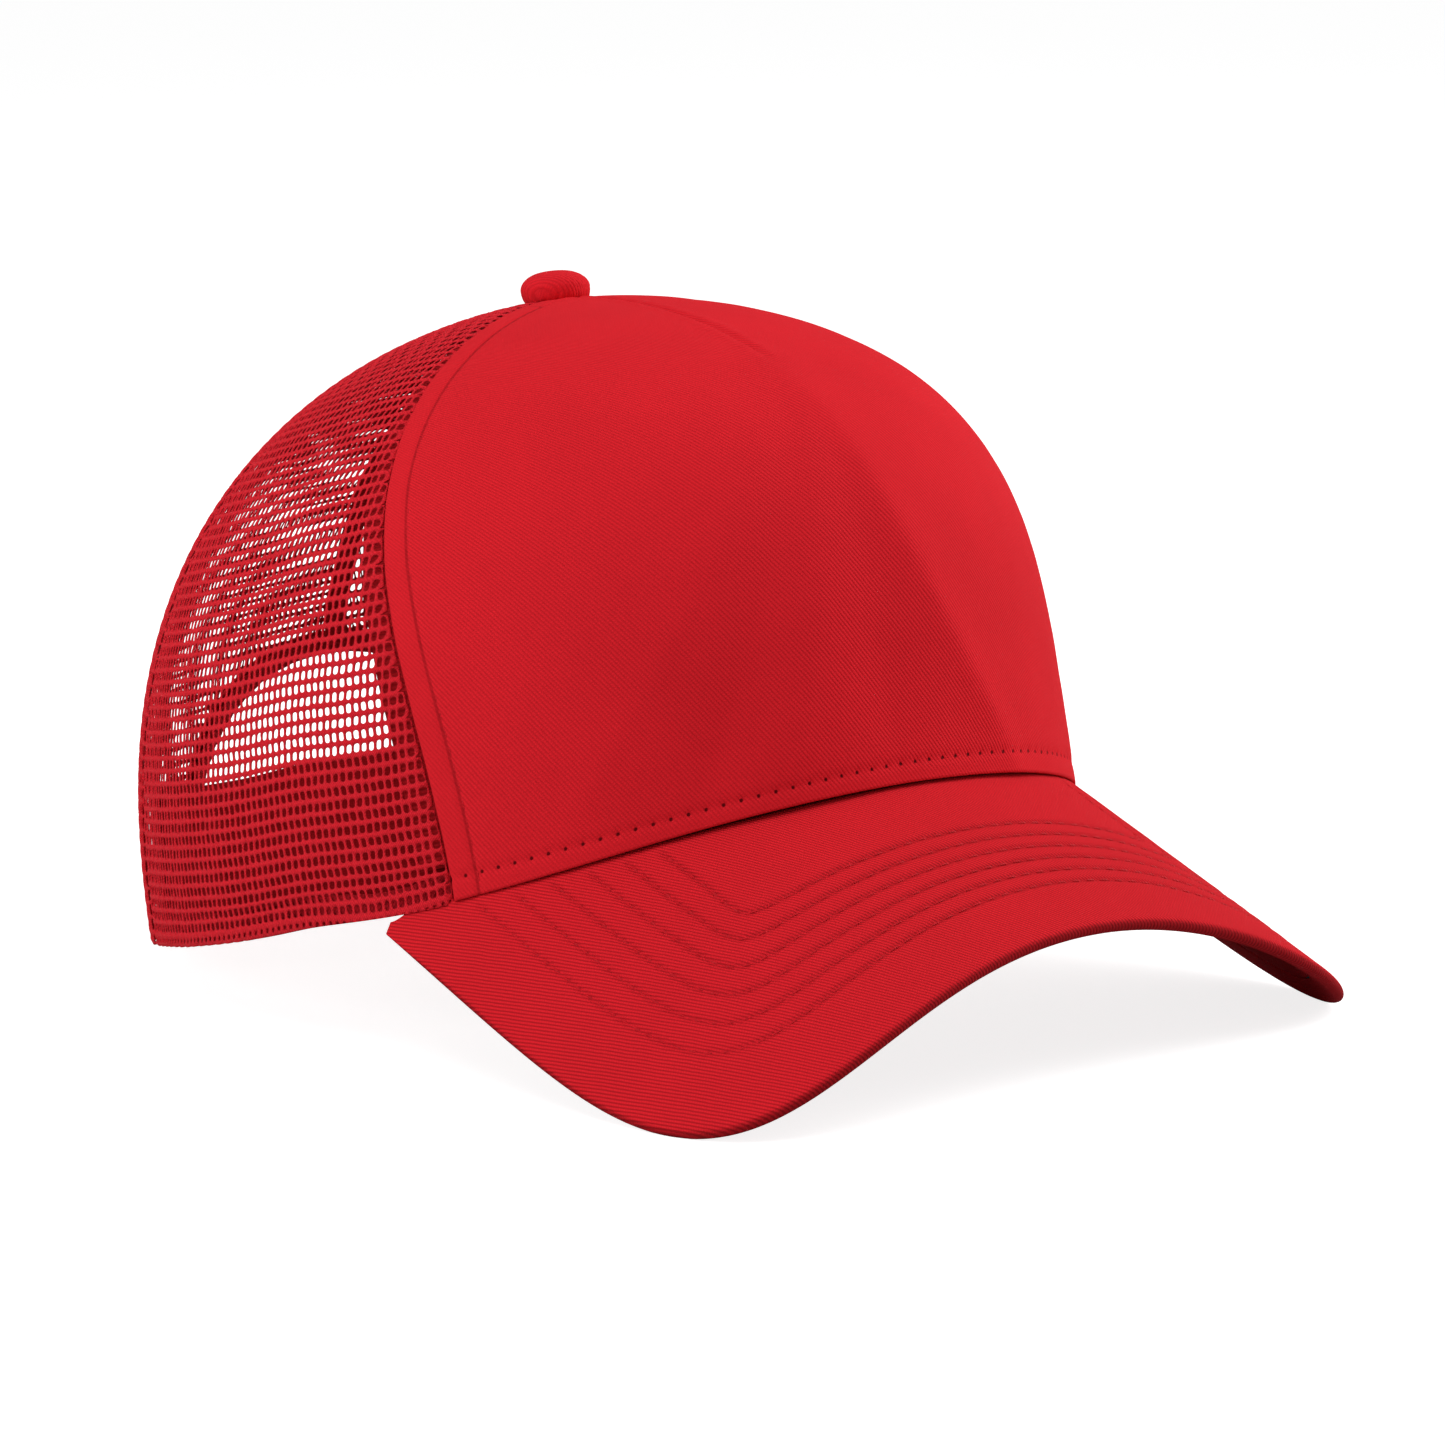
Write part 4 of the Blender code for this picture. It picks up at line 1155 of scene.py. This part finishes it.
def visor_outline(count):
    """Evenly spaced points (x, forward) of the outer edge, from the right corner to the left."""
    root = plan(VISOR_ROOT_ANGLE)[1]
    turn = np.sin(np.linspace(-math.pi / 2, math.pi / 2, 2001)) * math.pi / 2
    x = VISOR_HALF_WIDTH * signed_power(np.sin(turn), 2 / VISOR_OUTLINE_POWER)
    reach = FRONT_REACH + VISOR_LENGTH - root
    line = np.stack([x, root + reach * np.abs(np.cos(turn)) ** (2 / VISOR_OUTLINE_POWER)], axis=-1)
    run = run_along(line)
    return at_runs(np.linspace(0, run[-1], count), run, line)


def visor_normal(x):
    slope = -x / np.sqrt(VISOR_BEND_RADIUS**2 - x**2)
    tilt = np.full(np.shape(x), -math.tan(VISOR_PITCH))
    return unit(np.stack([-slope, tilt, np.ones(np.shape(x))], axis=-1))


def visor_surface(x, forward, depth):
    top = np.stack([x, -forward, visor_height(x, forward) - VISOR_DROP], axis=-1)
    return top - np.asarray(depth)[..., None] * visor_normal(x)


bend_x = np.linspace(-VISOR_BEND_RADIUS * 0.96, VISOR_BEND_RADIUS * 0.96, 4001)
bend_step = np.hypot(np.diff(bend_x), math.cos(VISOR_PITCH) * np.diff(visor_sag(bend_x)))
bend_run = np.concatenate([[0.0], np.cumsum(bend_step)])
bend_run -= bend_run[-1] / 2


def visor_flat(x, forward):
    """The visor rolled out flat: distance across, and distance forward."""
    flat = forward / math.cos(VISOR_PITCH) + visor_sag(x) * math.sin(VISOR_PITCH)
    return np.stack([np.interp(x, bend_x, bend_run), flat], axis=-1)


def visor_unflat(flat):
    x = np.interp(flat[..., 0], bend_run, bend_x)
    return x, (flat[..., 1] - visor_sag(x) * math.sin(VISOR_PITCH)) * math.cos(VISOR_PITCH)


def nearest(points, line):
    """Distance from each point to the nearest of a line's points, both in the plane."""
    tree = kdtree.KDTree(len(line))
    for k, (a, b) in enumerate(line):
        tree.insert((a, b, 0), k)
    tree.balance()
    flat = points.reshape(-1, 2)
    found = np.array([tree.find((a, b, 0))[2] for a, b in flat])
    return found.reshape(points.shape[:-1])


def visor_rows():
    """Stitch rows on the flat visor: the outline moved in, kept where it is on the visor, then eased."""
    outline = visor_outline(1200)
    edge = visor_flat(outline[:, 0], outline[:, 1])
    ahead = unit(np.gradient(edge, axis=0))
    inward = np.stack([ahead[:, 1], -ahead[:, 0]], axis=-1)
    rows = []
    closer = 1 - VISOR_ROWS_CLOSE_UP * bell(edge[:, 0], 50 * MM)
    for k in range(VISOR_ROWS):
        inset = VISOR_FIRST_ROW + k * VISOR_ROW_PITCH * closer
        line = edge + inset[:, None] * inward
        line = line[nearest(line, edge) > inset - 0.4 * MM]
        run = run_along(line)
        line = at_runs(np.arange(0, run[-1], 0.5 * MM), run, line)
        reach = 30
        padded = np.concatenate([np.repeat(line[:1], reach, 0), line, np.repeat(line[-1:], reach, 0)])
        window = np.hanning(2 * reach + 1)
        window /= window.sum()
        line = np.stack([np.convolve(padded[:, j], window, "valid") for j in (0, 1)], axis=-1)
        x, forward = visor_unflat(line)
        # the hem's plan curve, to drop what lies under the crown
        around = np.linspace(-VISOR_ROOT_ANGLE, VISOR_ROOT_ANGLE, 400)
        root_x, root_forward = plan(around)
        keep = forward > np.interp(x, root_x, root_forward) + 1.0 * MM
        rows.append(np.stack([x[keep], forward[keep]], axis=-1))
    return rows


def visor():
    columns = 361
    outline = visor_outline(columns)
    share = np.linspace(0, 1, columns)
    around = (2 * share - 1) * VISOR_ROOT_ANGLE
    root = np.stack(plan(around), axis=-1)
    tuck = VISOR_TUCK * ease((1 - np.abs(2 * share - 1)) / 0.08)
    root = root + (0.4 * MM - tuck)[:, None] * plan_outward(around)
    length = np.linalg.norm(root - outline, axis=1)
    inward = (root - outline) / np.maximum(length, 1e-9)[:, None]
    shrink = np.minimum(1.0, length / VISOR_FULL_EDGE)
    rows = visor_rows()
    threads = np.concatenate([visor_flat(row[:, 0], row[:, 1]) for row in rows])

    def surface(root_share, inset, depth, puffed=False):
        """One line of the visor's section, swept from the right corner to the left."""
        inset = np.broadcast_to(inset, share.shape)
        place = outline + inward * (root_share * length + inset * shrink)[:, None]
        flat = visor_flat(place[:, 0], place[:, 1])
        relief = 0.0
        shadow = 0.0
        if puffed:
            away = nearest(flat, threads)
            channel = VISOR_SINK + VISOR_SINK_MORE * bell(flat[:, 0], 55 * MM)
            shadow = VISOR_SINK_SHADOW * bell(away, 0.45 * MM) * bell(flat[:, 0], 60 * MM)
            beside = 0.08 * MM * bell(away - 1.9 * MM, 1.2 * MM)
            relief = 0.05 * MM - channel * bell(away, 0.7 * MM) + beside
            lift = ease(root_share * length / (9 * MM))
            unevenness = grain(np.stack([flat[:, 0], flat[:, 1], 0 * share], axis=-1), 9 * MM, 0.07 * MM)
            relief = relief * lift + unevenness
        points = visor_surface(place[:, 0], place[:, 1], depth - relief)
        # painted shade: 1 on the folded-under edge and the underside, plus a painted shadow along the stitch
        # channels
        underside_and_stitch_shade = ease((depth / VISOR_THICKNESS - 0.08) / 0.14) + shadow + 0 * share
        return points, np.concatenate([flat, underside_and_stitch_shade[:, None]], axis=1)

    def loft(name, section, finish, slot, stands_for):
        made = [surface(*line) for line in section]
        points = np.stack([m[0] for m in made], axis=1)
        cloth = np.stack([m[1] for m in made], axis=1)
        count, size = points.shape[:2]
        quads = swept_faces(count, size)
        quads.append(range(size)[::-1])
        quads.append(range((count - 1) * size, count * size))
        new_object(name, points.reshape(-1, 3), quads, finish, stands_for=stands_for,
                   cloth=cloth.reshape(-1, 3), slot=slot)

    def rolled(inset, top, bottom, steps):
        radius = (bottom - top) / 2
        turns = np.linspace(0, math.pi, steps + 1)
        return [(0.0, inset + radius * (1 - math.sin(a)), top + radius * (1 - math.cos(a))) for a in turns]

    thick = VISOR_THICKNESS
    turn_in = thick / 2
    cover = [(s, turn_in * (1 - s), 0.0, True) for s in np.linspace(1, 0.01, 96)]
    cover += rolled(0.0, 0.0, thick, 12)
    cover += [(0.0, i, thick) for i in np.linspace(2.4 * MM, VISOR_TURN_UNDER - 0.25 * MM, 5)]
    cover += [(0.0, VISOR_TURN_UNDER, thick - 0.2 * MM), (0.0, VISOR_TURN_UNDER, thick - VISOR_CLOTH)]
    cover += rolled(VISOR_CLOTH, VISOR_CLOTH, thick - VISOR_CLOTH, 6)[::-1]
    cover += [(s, turn_in * (1 - s), VISOR_CLOTH) for s in np.linspace(0.06, 1, 16)]
    loft("visor_cover", cover, visor_twill, "visor_twill", ["visor_top_cover"])

    inset = VISOR_TURN_UNDER + 0.3 * MM
    under = [(s, inset * (1 - s), thick - VISOR_CLOTH) for s in np.linspace(1, 0, 12)]
    under += [(0.0, inset, thick - 0.2 * MM), (0.0, inset + 0.25 * MM, thick)]
    under += [(s, inset * (1 - s), thick) for s in np.linspace(0.03, 1, 60)]
    loft("visor_lining", under, visor_twill, "visor_twill", ["visor_bottom_cover"])

    for k, row in enumerate(rows):
        x, forward = row[:, 0], row[:, 1]
        path = visor_surface(x, forward, 0.20 * MM * np.ones(len(x)))
        stitches(f"visor_stitch_{k + 1}", path, visor_normal(x), lift=0.35, radius=0.23 * MM)
        below = visor_surface(x, forward, (thick - 0.02 * MM) * np.ones(len(x)))
        stitches(f"visor_under_stitch_{k + 1}", below, -visor_normal(x), lift=0.3, radius=0.2 * MM)


visor()


# ---------------------------------------------------------------- covered button

BUTTON_RADIUS = 6.95 * MM
BUTTON_HEIGHT = 5.8 * MM
BUTTON_BASE = -0.40 * MM
BUTTON_CLOTH = 0.55 * MM
# The side that the button is raised on, anticlockwise from the wearer's left seen from above, and how far
BUTTON_LEAN = 2.5
BUTTON_RAISE = 0.30 * MM
# The point that its creases curve round
CREASE_CENTRE = (2.4 * MM, -6.4 * MM, 2.9 * MM)
CREASE_HEIGHT = 0.10 * MM


def button():
    """Twill stretched over a metal shell: bulging sides tucked in below, with faint curved creases."""
    turns = np.linspace(0, 2 * math.pi, 121)[:-1]
    waist = BUTTON_BASE + (BUTTON_HEIGHT - BUTTON_BASE) * 0.42
    outline = []
    for a in np.linspace(-math.pi / 2 * 0.80, 0, 12):
        tucked = BUTTON_RADIUS * (0.80 + 0.20 * math.cos(a))
        outline.append((tucked, waist + (waist - BUTTON_BASE) * math.sin(a) / 0.951))
    for a in np.linspace(0, math.pi / 2, 22)[1:]:
        outline.append((BUTTON_RADIUS * math.cos(a) ** 0.78 if a < 1.57 else 0.02 * MM,
                        waist + (BUTTON_HEIGHT - waist) * math.sin(a) ** 1.05))
    outline = np.array(outline)
    radius, height = outline[:, [0]], outline[:, [1]]
    around = turns[None, :]
    lobes = 1 + 0.012 * np.sin(2 * around + 0.6) + 0.010 * np.sin(3 * around)
    x = radius * lobes * np.cos(around)
    y = radius * lobes * np.sin(around)
    z = height + BUTTON_RAISE * np.cos(around - BUTTON_LEAN) * (radius / BUTTON_RADIUS)
    # creases curve round a point low on the front, and pleats gather under the rim
    cx, cy, cz = CREASE_CENTRE
    from_fold = np.sqrt((x - cx) ** 2 + (y - cy) ** 2 + (2.2 * (height - cz)) ** 2)
    crease = CREASE_HEIGHT * np.sin(from_fold / (0.19 * MM)) * bell(from_fold - 2.6 * MM, 2.2 * MM)
    pleat = CREASE_HEIGHT * np.sin(18 * around) * bell(height - BUTTON_BASE, 1.2 * MM)
    swell = 1 + (crease + pleat) / BUTTON_RADIUS
    top = CROWN_HEIGHT
    outer = np.stack([x * swell, y * swell - BUTTON_FORWARD, top + z + crease * 0.4], axis=-1)
    squeeze = (BUTTON_RADIUS - BUTTON_CLOTH) / BUTTON_RADIUS
    inner = np.stack([x * squeeze, y * squeeze - BUTTON_FORWARD,
                      top + BUTTON_BASE + (z - BUTTON_BASE) * 0.89 + 0 * x], axis=-1)
    rows, ring = outer.shape[:2]
    points = np.concatenate([outer.reshape(-1, 3), inner[::-1].reshape(-1, 3)])
    index = np.arange(2 * rows * ring).reshape(2 * rows, ring)
    after = np.roll(index, -1, axis=1)
    keep = [r for r in range(2 * rows) if r != rows - 1]
    following = np.roll(index, -1, axis=0)
    after_next = np.roll(after, -1, axis=0)
    quads = np.stack([index, after, after_next, following], axis=-1)[keep].reshape(-1, 4).tolist()
    quads.append(list(index[rows - 1]))
    quads.append(list(index[rows])[::-1])
    slanting = points[:, 1] * 0.8 + points[:, 2] * 0.6
    cloth = np.stack([points[:, 0], slanting, np.full(len(points), 0.45)], axis=-1)
    new_object("button_cloth", points, quads, button_twill, stands_for=["button_cover"], cloth=cloth,
               slot="front_twill")


button()


# ---------------------------------------------------------------- snap strap

STRAP_HEIGHT = 18 * MM
STRAP_LOW_EDGE = 3.5 * MM
STRAP_START = 43.5 * MM
STRAP_PAST_CENTRE = 23 * MM
STRAP_TIP_RADIUS = 6 * MM
SNAP_PITCH = 9 * MM
SNAP_COUNT = 7
SNAPS_PAST_CENTRE = 2
HOLE_RADIUS = 2.7 * MM
PEG_RADIUS = 2.1 * MM
PEG_LENGTH = 2.2 * MM
STRAP_THICKNESS = 1.2 * MM
HOLE_STRAP_DEPTH = 1.2 * MM
PEG_STRAP_DEPTH = 2.8 * MM
STRAP_MIDDLE = STRAP_LOW_EDGE + STRAP_HEIGHT / 2

rear_angles = np.linspace(BACK_SEAM - 60, BACK_SEAM, 1441)
rear_line = np.stack(plan(rear_angles), axis=-1)
rear_run = run_along(rear_line)
rear_run = rear_run[-1] - rear_run


def strap_point(along, height, depth):
    """A point of the strap; along is the distance from the centre back to the wearer's left."""
    angle = np.interp(np.abs(along), rear_run[::-1], rear_angles[::-1])
    outward = plan_outward(angle)
    x, forward = plan(angle)
    x = x - depth * outward[..., 0]
    forward = forward - depth * outward[..., 1]
    return np.stack([np.where(along < 0, -x, x), -forward, height + 0 * x], axis=-1)


def ring_of(centre, radius, count=40):
    turns = 2 * math.pi * (np.arange(count) + 0.5) / count
    return [(centre[0] + radius * math.cos(a), centre[1] + radius * math.sin(a)) for a in turns]


def strap_outline(inset):
    """The strap's outline moved in by an inset, from its sewn end round its tip."""
    low = STRAP_LOW_EDGE + inset
    high = STRAP_LOW_EDGE + STRAP_HEIGHT - inset
    radius = STRAP_TIP_RADIUS - inset
    tip = -STRAP_PAST_CENTRE + STRAP_TIP_RADIUS
    outline = [(a, low) for a in np.linspace(STRAP_START - inset, tip, 60)]
    outline += [(tip - radius * math.sin(a), low + radius * (1 - math.cos(a)))
                for a in np.linspace(0, math.pi / 2, 10)[1:]]
    upper = [(a, low + high - h) for a, h in reversed(outline)]
    return outline + upper


def strap(name, side, depth, snap_rings, hollow, stands_for, body):
    """Moulded strap: rounded edges, a raised bead along its border, and a row of snaps."""
    border = ((0.0, 0.30), (0.15, 0.08), (0.40, 0.0), (0.9, -0.12), (1.5, -0.12), (2.0, 0.0))
    loops = [(strap_outline(inset * MM), face * MM) for inset, face in border]
    centres = [((k - SNAPS_PAST_CENTRE) * SNAP_PITCH, STRAP_MIDDLE) for k in range(SNAP_COUNT)]
    for centre in centres:
        for radius, face in snap_rings:
            loops.append((ring_of(centre, radius), face))
    flat, edges, faces_at = [], [], []
    for loop, face in loops:
        first = len(flat)
        flat += [Vector(p) for p in loop]
        edges += [(first + k, first + (k + 1) % len(loop)) for k in range(len(loop))]
        faces_at += [face] * len(loop)
    for along in np.arange(-STRAP_PAST_CENTRE + 4 * MM, STRAP_START - 3 * MM, 1.5 * MM):
        for height in (STRAP_LOW_EDGE + 3.2 * MM, STRAP_MIDDLE + 5.8 * MM):
            flat.append(Vector((along, height)))
            faces_at.append(0.0)
    places, _, triangles, origins, _, _ = geometry.delaunay_2d_cdt(flat, edges, [], 1, 1e-8)
    face = np.array([faces_at[o[0]] if o else 0.0 for o in origins])
    xy = np.array([(p.x, p.y) for p in places])
    triangles = np.array([list(t) for t in triangles])
    if hollow:
        middle = xy[triangles].mean(axis=1)
        away = np.min([np.hypot(middle[:, 0] - c[0], middle[:, 1] - c[1]) for c in centres], axis=0)
        triangles = triangles[away > HOLE_RADIUS * 0.999]
    rounded = np.where(face > 0, face, 0.0)
    front_points = strap_point(side * xy[:, 0], xy[:, 1], depth + face)
    back_points = strap_point(side * xy[:, 0], xy[:, 1], depth + STRAP_THICKNESS - rounded)
    count = len(xy)
    faces = triangles.tolist() + (triangles[:, ::-1] + count).tolist()
    faces += [(b, a, a + count, b + count) for a, b in open_edges(triangles.tolist())]
    points = np.concatenate([front_points, back_points])
    # seen from outside, "along" runs to the wearer's left, which is leftwards from behind
    if side > 0:
        faces = [f[::-1] for f in faces]
    new_object(name, points, faces, strap_plastic, body=body, stands_for=stands_for, slot="strap_plastic")


# Rings round each snap: their radius, and how far in from the strap's face they lie
snap_hole_rings = ((HOLE_RADIUS, 0.25 * MM), (HOLE_RADIUS + 0.2 * MM, -0.05 * MM),
                   (HOLE_RADIUS + 0.5 * MM, -0.15 * MM), (HOLE_RADIUS + 0.9 * MM, -0.12 * MM),
                   (HOLE_RADIUS + 1.2 * MM, 0.0))
peg_rings = ((PEG_RADIUS - 1.1 * MM, -PEG_LENGTH + 0.05 * MM), (PEG_RADIUS - 0.5 * MM, -PEG_LENGTH),
             (PEG_RADIUS - 0.15 * MM, -PEG_LENGTH + 0.15 * MM), (PEG_RADIUS, -PEG_LENGTH + 0.5 * MM),
             (PEG_RADIUS + 0.02 * MM, -0.2 * MM), (PEG_RADIUS + 0.35 * MM, 0.0))
strap("hole_strap_plastic", 1, HOLE_STRAP_DEPTH, snap_hole_rings, True, ["hole_strap"], "hole_strap_half")
strap("peg_strap_plastic", -1, PEG_STRAP_DEPTH, peg_rings, False, ["peg_strap"], "peg_strap_half")


# Sewn tab: where it starts and ends along the strap, its gap to the strap, the depths of its tail's
# two faces, its stitches, and two places along the strap where points on its middle are worked out, which
# nothing uses
TAB_EDGE = 37.5 * MM
TAB_TAIL = 58 * MM
TAB_CLOTH = 0.5 * MM
TAB_GAP = 0.12 * MM
TAB_TAIL_DEPTHS = (1.95 * MM, 2.95 * MM)
TAB_STITCH = 2.6 * MM
TAB_STITCH_ROWS = (39.5 * MM, 42.0 * MM)
TAB_BEND = (47 * MM, 39 * MM)


def strap_tab(name, side, strap_depth):
    """A folded ribbon sewn over the strap's end, with its tail under the mesh and the sweatband."""
    edge, tail, thick = TAB_EDGE, TAB_TAIL, TAB_CLOTH
    near = strap_depth - TAB_GAP
    far = strap_depth + STRAP_THICKNESS + TAB_GAP
    closed = STRAP_START + 1.2 * MM

    def settle(along, depth, layer):
        share = ease((along - closed) / (6 * MM))
        return depth * (1 - share) + layer * share

    outside = [(a, settle(a, near - thick, TAB_TAIL_DEPTHS[0])) for a in np.linspace(edge, tail, 24)]
    outside += [(a, settle(a, far + thick, TAB_TAIL_DEPTHS[1])) for a in np.linspace(tail, edge, 24)]
    inside = [(a, far) for a in np.linspace(edge, closed - 0.5 * MM, 10)]
    inside += [(a, near) for a in np.linspace(closed - 0.5 * MM, edge, 10)]
    section = np.array(outside + inside)
    heights = np.linspace(STRAP_LOW_EDGE - 0.9 * MM, STRAP_LOW_EDGE + STRAP_HEIGHT + 0.9 * MM, 40)
    bow = 0.10 * MM * np.sin(heights / (1.7 * MM))
    pinch = 0.25 * MM * (bell(heights - heights[0], 0.6 * MM) + bell(heights - heights[-1], 0.6 * MM))
    middle = (near + far) / 2
    toward = np.sign(middle - section[:, 1])
    depth = section[None, :, 1] + bow[:, None] + pinch[:, None] * toward[None, :]
    along = side * section[None, :, 0] + 0 * depth
    points = strap_point(along, heights[:, None], depth)
    rows, columns = points.shape[:2]
    quads = swept_faces(rows, columns)
    ends = [Vector((a, d)) for a, d in section]
    ring = [(k, (k + 1) % columns) for k in range(columns)]
    fill = geometry.delaunay_2d_cdt(ends, ring, [], 1, 1e-8)
    order = [o[0] for o in fill[3]]
    for t in fill[2]:
        cap = [order[k] for k in t]
        quads.append(cap[::-1])
        quads.append([k + (rows - 1) * columns for k in cap])
    if side < 0:
        quads = [q[::-1] for q in quads]
    cloth = np.stack([section[None, :, 0] + 0 * depth, heights[:, None] + 0 * depth, 0 * depth], axis=-1)
    start, end = [Vector(to_row(strap_point(np.array(side * at), STRAP_MIDDLE, middle))) for at in TAB_BEND]
    made = new_object(name, points.reshape(-1, 3), quads, ribbon, body=None, cloth=cloth.reshape(-1, 3),
                      slot="seam_ribbon")
    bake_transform(made)
    for row, at in enumerate(TAB_STITCH_ROWS):
        up = np.linspace(heights[0] + 1.2 * MM, heights[-1] - 1.2 * MM, 60)
        here = np.full(up.shape, side * at)
        outward = strap_point(here, up, 0.0) - strap_point(here, up, 1 * MM)
        path = strap_point(here, up, near - thick + 0.02 * MM + 0.10 * MM * np.sin(up / (1.7 * MM)))
        sewn = stitches(f"{name}_stitch_{row + 1}", path, unit(outward), lift=0.4, pitch=TAB_STITCH,
                        body=None)
        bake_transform(sewn)


strap_tab("strap_tab_left", 1, HOLE_STRAP_DEPTH)
strap_tab("strap_tab_right", -1, PEG_STRAP_DEPTH)


# ---------------------------------------------------------------- carried-over CAD nodes

for node, finish in (("visor_board", board_plastic), ("button_shell", steel), ("button_shank", steel),
                     ("button_washer", steel)):
    owner = frame["nodes"][node]
    owner.data.materials.clear()
    owner.data.materials.append(finish)


# ---------------------------------------------------------------- studio

# The camera, in the cap's own frame
CAMERA_AZIMUTH = math.radians(-36.07)
CAMERA_ELEVATION = math.radians(1.38)
CAMERA_ROLL = math.radians(-8.14)
CAMERA_DISTANCE = 1.0487
CAMERA_AIM = (27.1 * MM, 27.7 * MM)
CAMERA_LENS = 130.2
FLOOR_HALF_SIZE = 6.0
WORLD_LIGHT = 0.27


def toward(azimuth, elevation):
    """Direction from the cap towards a viewer."""
    return Vector((math.sin(azimuth) * math.cos(elevation), -math.cos(azimuth) * math.cos(elevation),
                   math.sin(elevation)))


def camera():
    back = toward(CAMERA_AZIMUTH, CAMERA_ELEVATION)
    right = Vector((math.cos(CAMERA_AZIMUTH), math.sin(CAMERA_AZIMUTH), 0))
    up = back.cross(right)
    across = right * math.cos(CAMERA_ROLL) + up * math.sin(CAMERA_ROLL)
    top = up * math.cos(CAMERA_ROLL) - right * math.sin(CAMERA_ROLL)
    place = right * CAMERA_AIM[0] + Vector((0, 0, CAMERA_AIM[1])) + back * CAMERA_DISTANCE
    turn = Matrix(TURN.tolist())
    data = bpy.data.cameras.new("photo_camera")
    data.lens = CAMERA_LENS
    made = bpy.data.objects.new("photo_camera", data)
    made.matrix_world = (turn @ Matrix((across, top, back)).transposed()).to_4x4()
    made.location = Vector(to_row(place))
    bpy.context.scene.collection.objects.link(made)
    bpy.context.scene.camera = made


def softbox(name, azimuth, elevation, distance, size, power):
    """A soft light, by its direction from the cap in degrees, distance and size in metres, and watts."""
    data = bpy.data.lights.new(name, "AREA")
    data.shape = "RECTANGLE"
    data.size, data.size_y = size
    data.energy = power
    made = bpy.data.objects.new(name, data)
    back = toward(math.radians(azimuth), math.radians(elevation))
    made.matrix_world = back.to_track_quat("Z", "Y").to_matrix().to_4x4()
    made.location = back * distance + Vector((0, 0, 0.05))
    bpy.context.scene.collection.objects.link(made)


def stage_floor():
    """A floor that looks white, but throws little light back up at the cap."""
    floor = Finish("pale_floor")
    place = floor.place()
    tint = floor.between(floor.noise(place, 60 * MM, 3.0), 0.985, 1.0)
    seen = floor.node("ShaderNodeLightPath", output="Is Camera Ray")
    tint = floor.maths("MULTIPLY", tint, floor.between(seen, 0.6, 0.65))
    floor.surface(floor.shade((0.90, 0.90, 0.90, 1.0), tint), 0.9, specular=0.1)
    floor.shader.inputs["Emission Color"].default_value = (1.0, 1.0, 1.0, 1.0)
    floor.feed(floor.shader.inputs["Emission Strength"], floor.between(seen, 0.0, 0.82))
    mesh = bpy.data.meshes.new("floor")
    corners = [(x * FLOOR_HALF_SIZE, y * FLOOR_HALF_SIZE, 0) for x, y in ((-1, -1), (1, -1), (1, 1), (-1, 1))]
    mesh.from_pydata(corners, [], [(0, 1, 2, 3)])
    mesh.materials.append(floor.material)
    made = bpy.data.objects.new("floor", mesh)
    bpy.context.scene.collection.objects.link(made)


def backdrop_world():
    """A white backdrop for the camera, and a dimmer white light on the cap."""
    world = bpy.data.worlds.new("pale_studio")
    bpy.context.scene.world = world
    world.use_nodes = True
    nodes = world.node_tree.nodes
    links = world.node_tree.links
    backdrop = nodes["Background"]
    seen = nodes.new("ShaderNodeBackground")
    seen.inputs["Color"].default_value = (1.0, 1.0, 1.0, 1.0)
    chooser = nodes.new("ShaderNodeMixShader")
    links.new(nodes.new("ShaderNodeLightPath").outputs["Is Camera Ray"], chooser.inputs[0])
    links.new(backdrop.outputs[0], chooser.inputs[1])
    links.new(seen.outputs[0], chooser.inputs[2])
    links.new(chooser.outputs[0], nodes["World Output"].inputs["Surface"])
    backdrop.inputs["Color"].default_value = (1.0, 1.0, 1.0, 1.0)
    backdrop.inputs["Strength"].default_value = WORLD_LIGHT


def studio():
    stage_floor()
    backdrop_world()
    softbox("left_softbox", -105, 8, 1.6, (1.2, 1.4), 18.5)
    softbox("right_softbox", 75, 25, 1.6, (1.2, 1.4), 19.5)
    softbox("top_softbox", -30, 70, 1.7, (1.4, 1.4), 14)
    bpy.context.scene.view_settings.view_transform = "Standard"


camera()
studio()

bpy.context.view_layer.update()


def plain(box):
    return [[float(value) for value in corner] for corner in box]
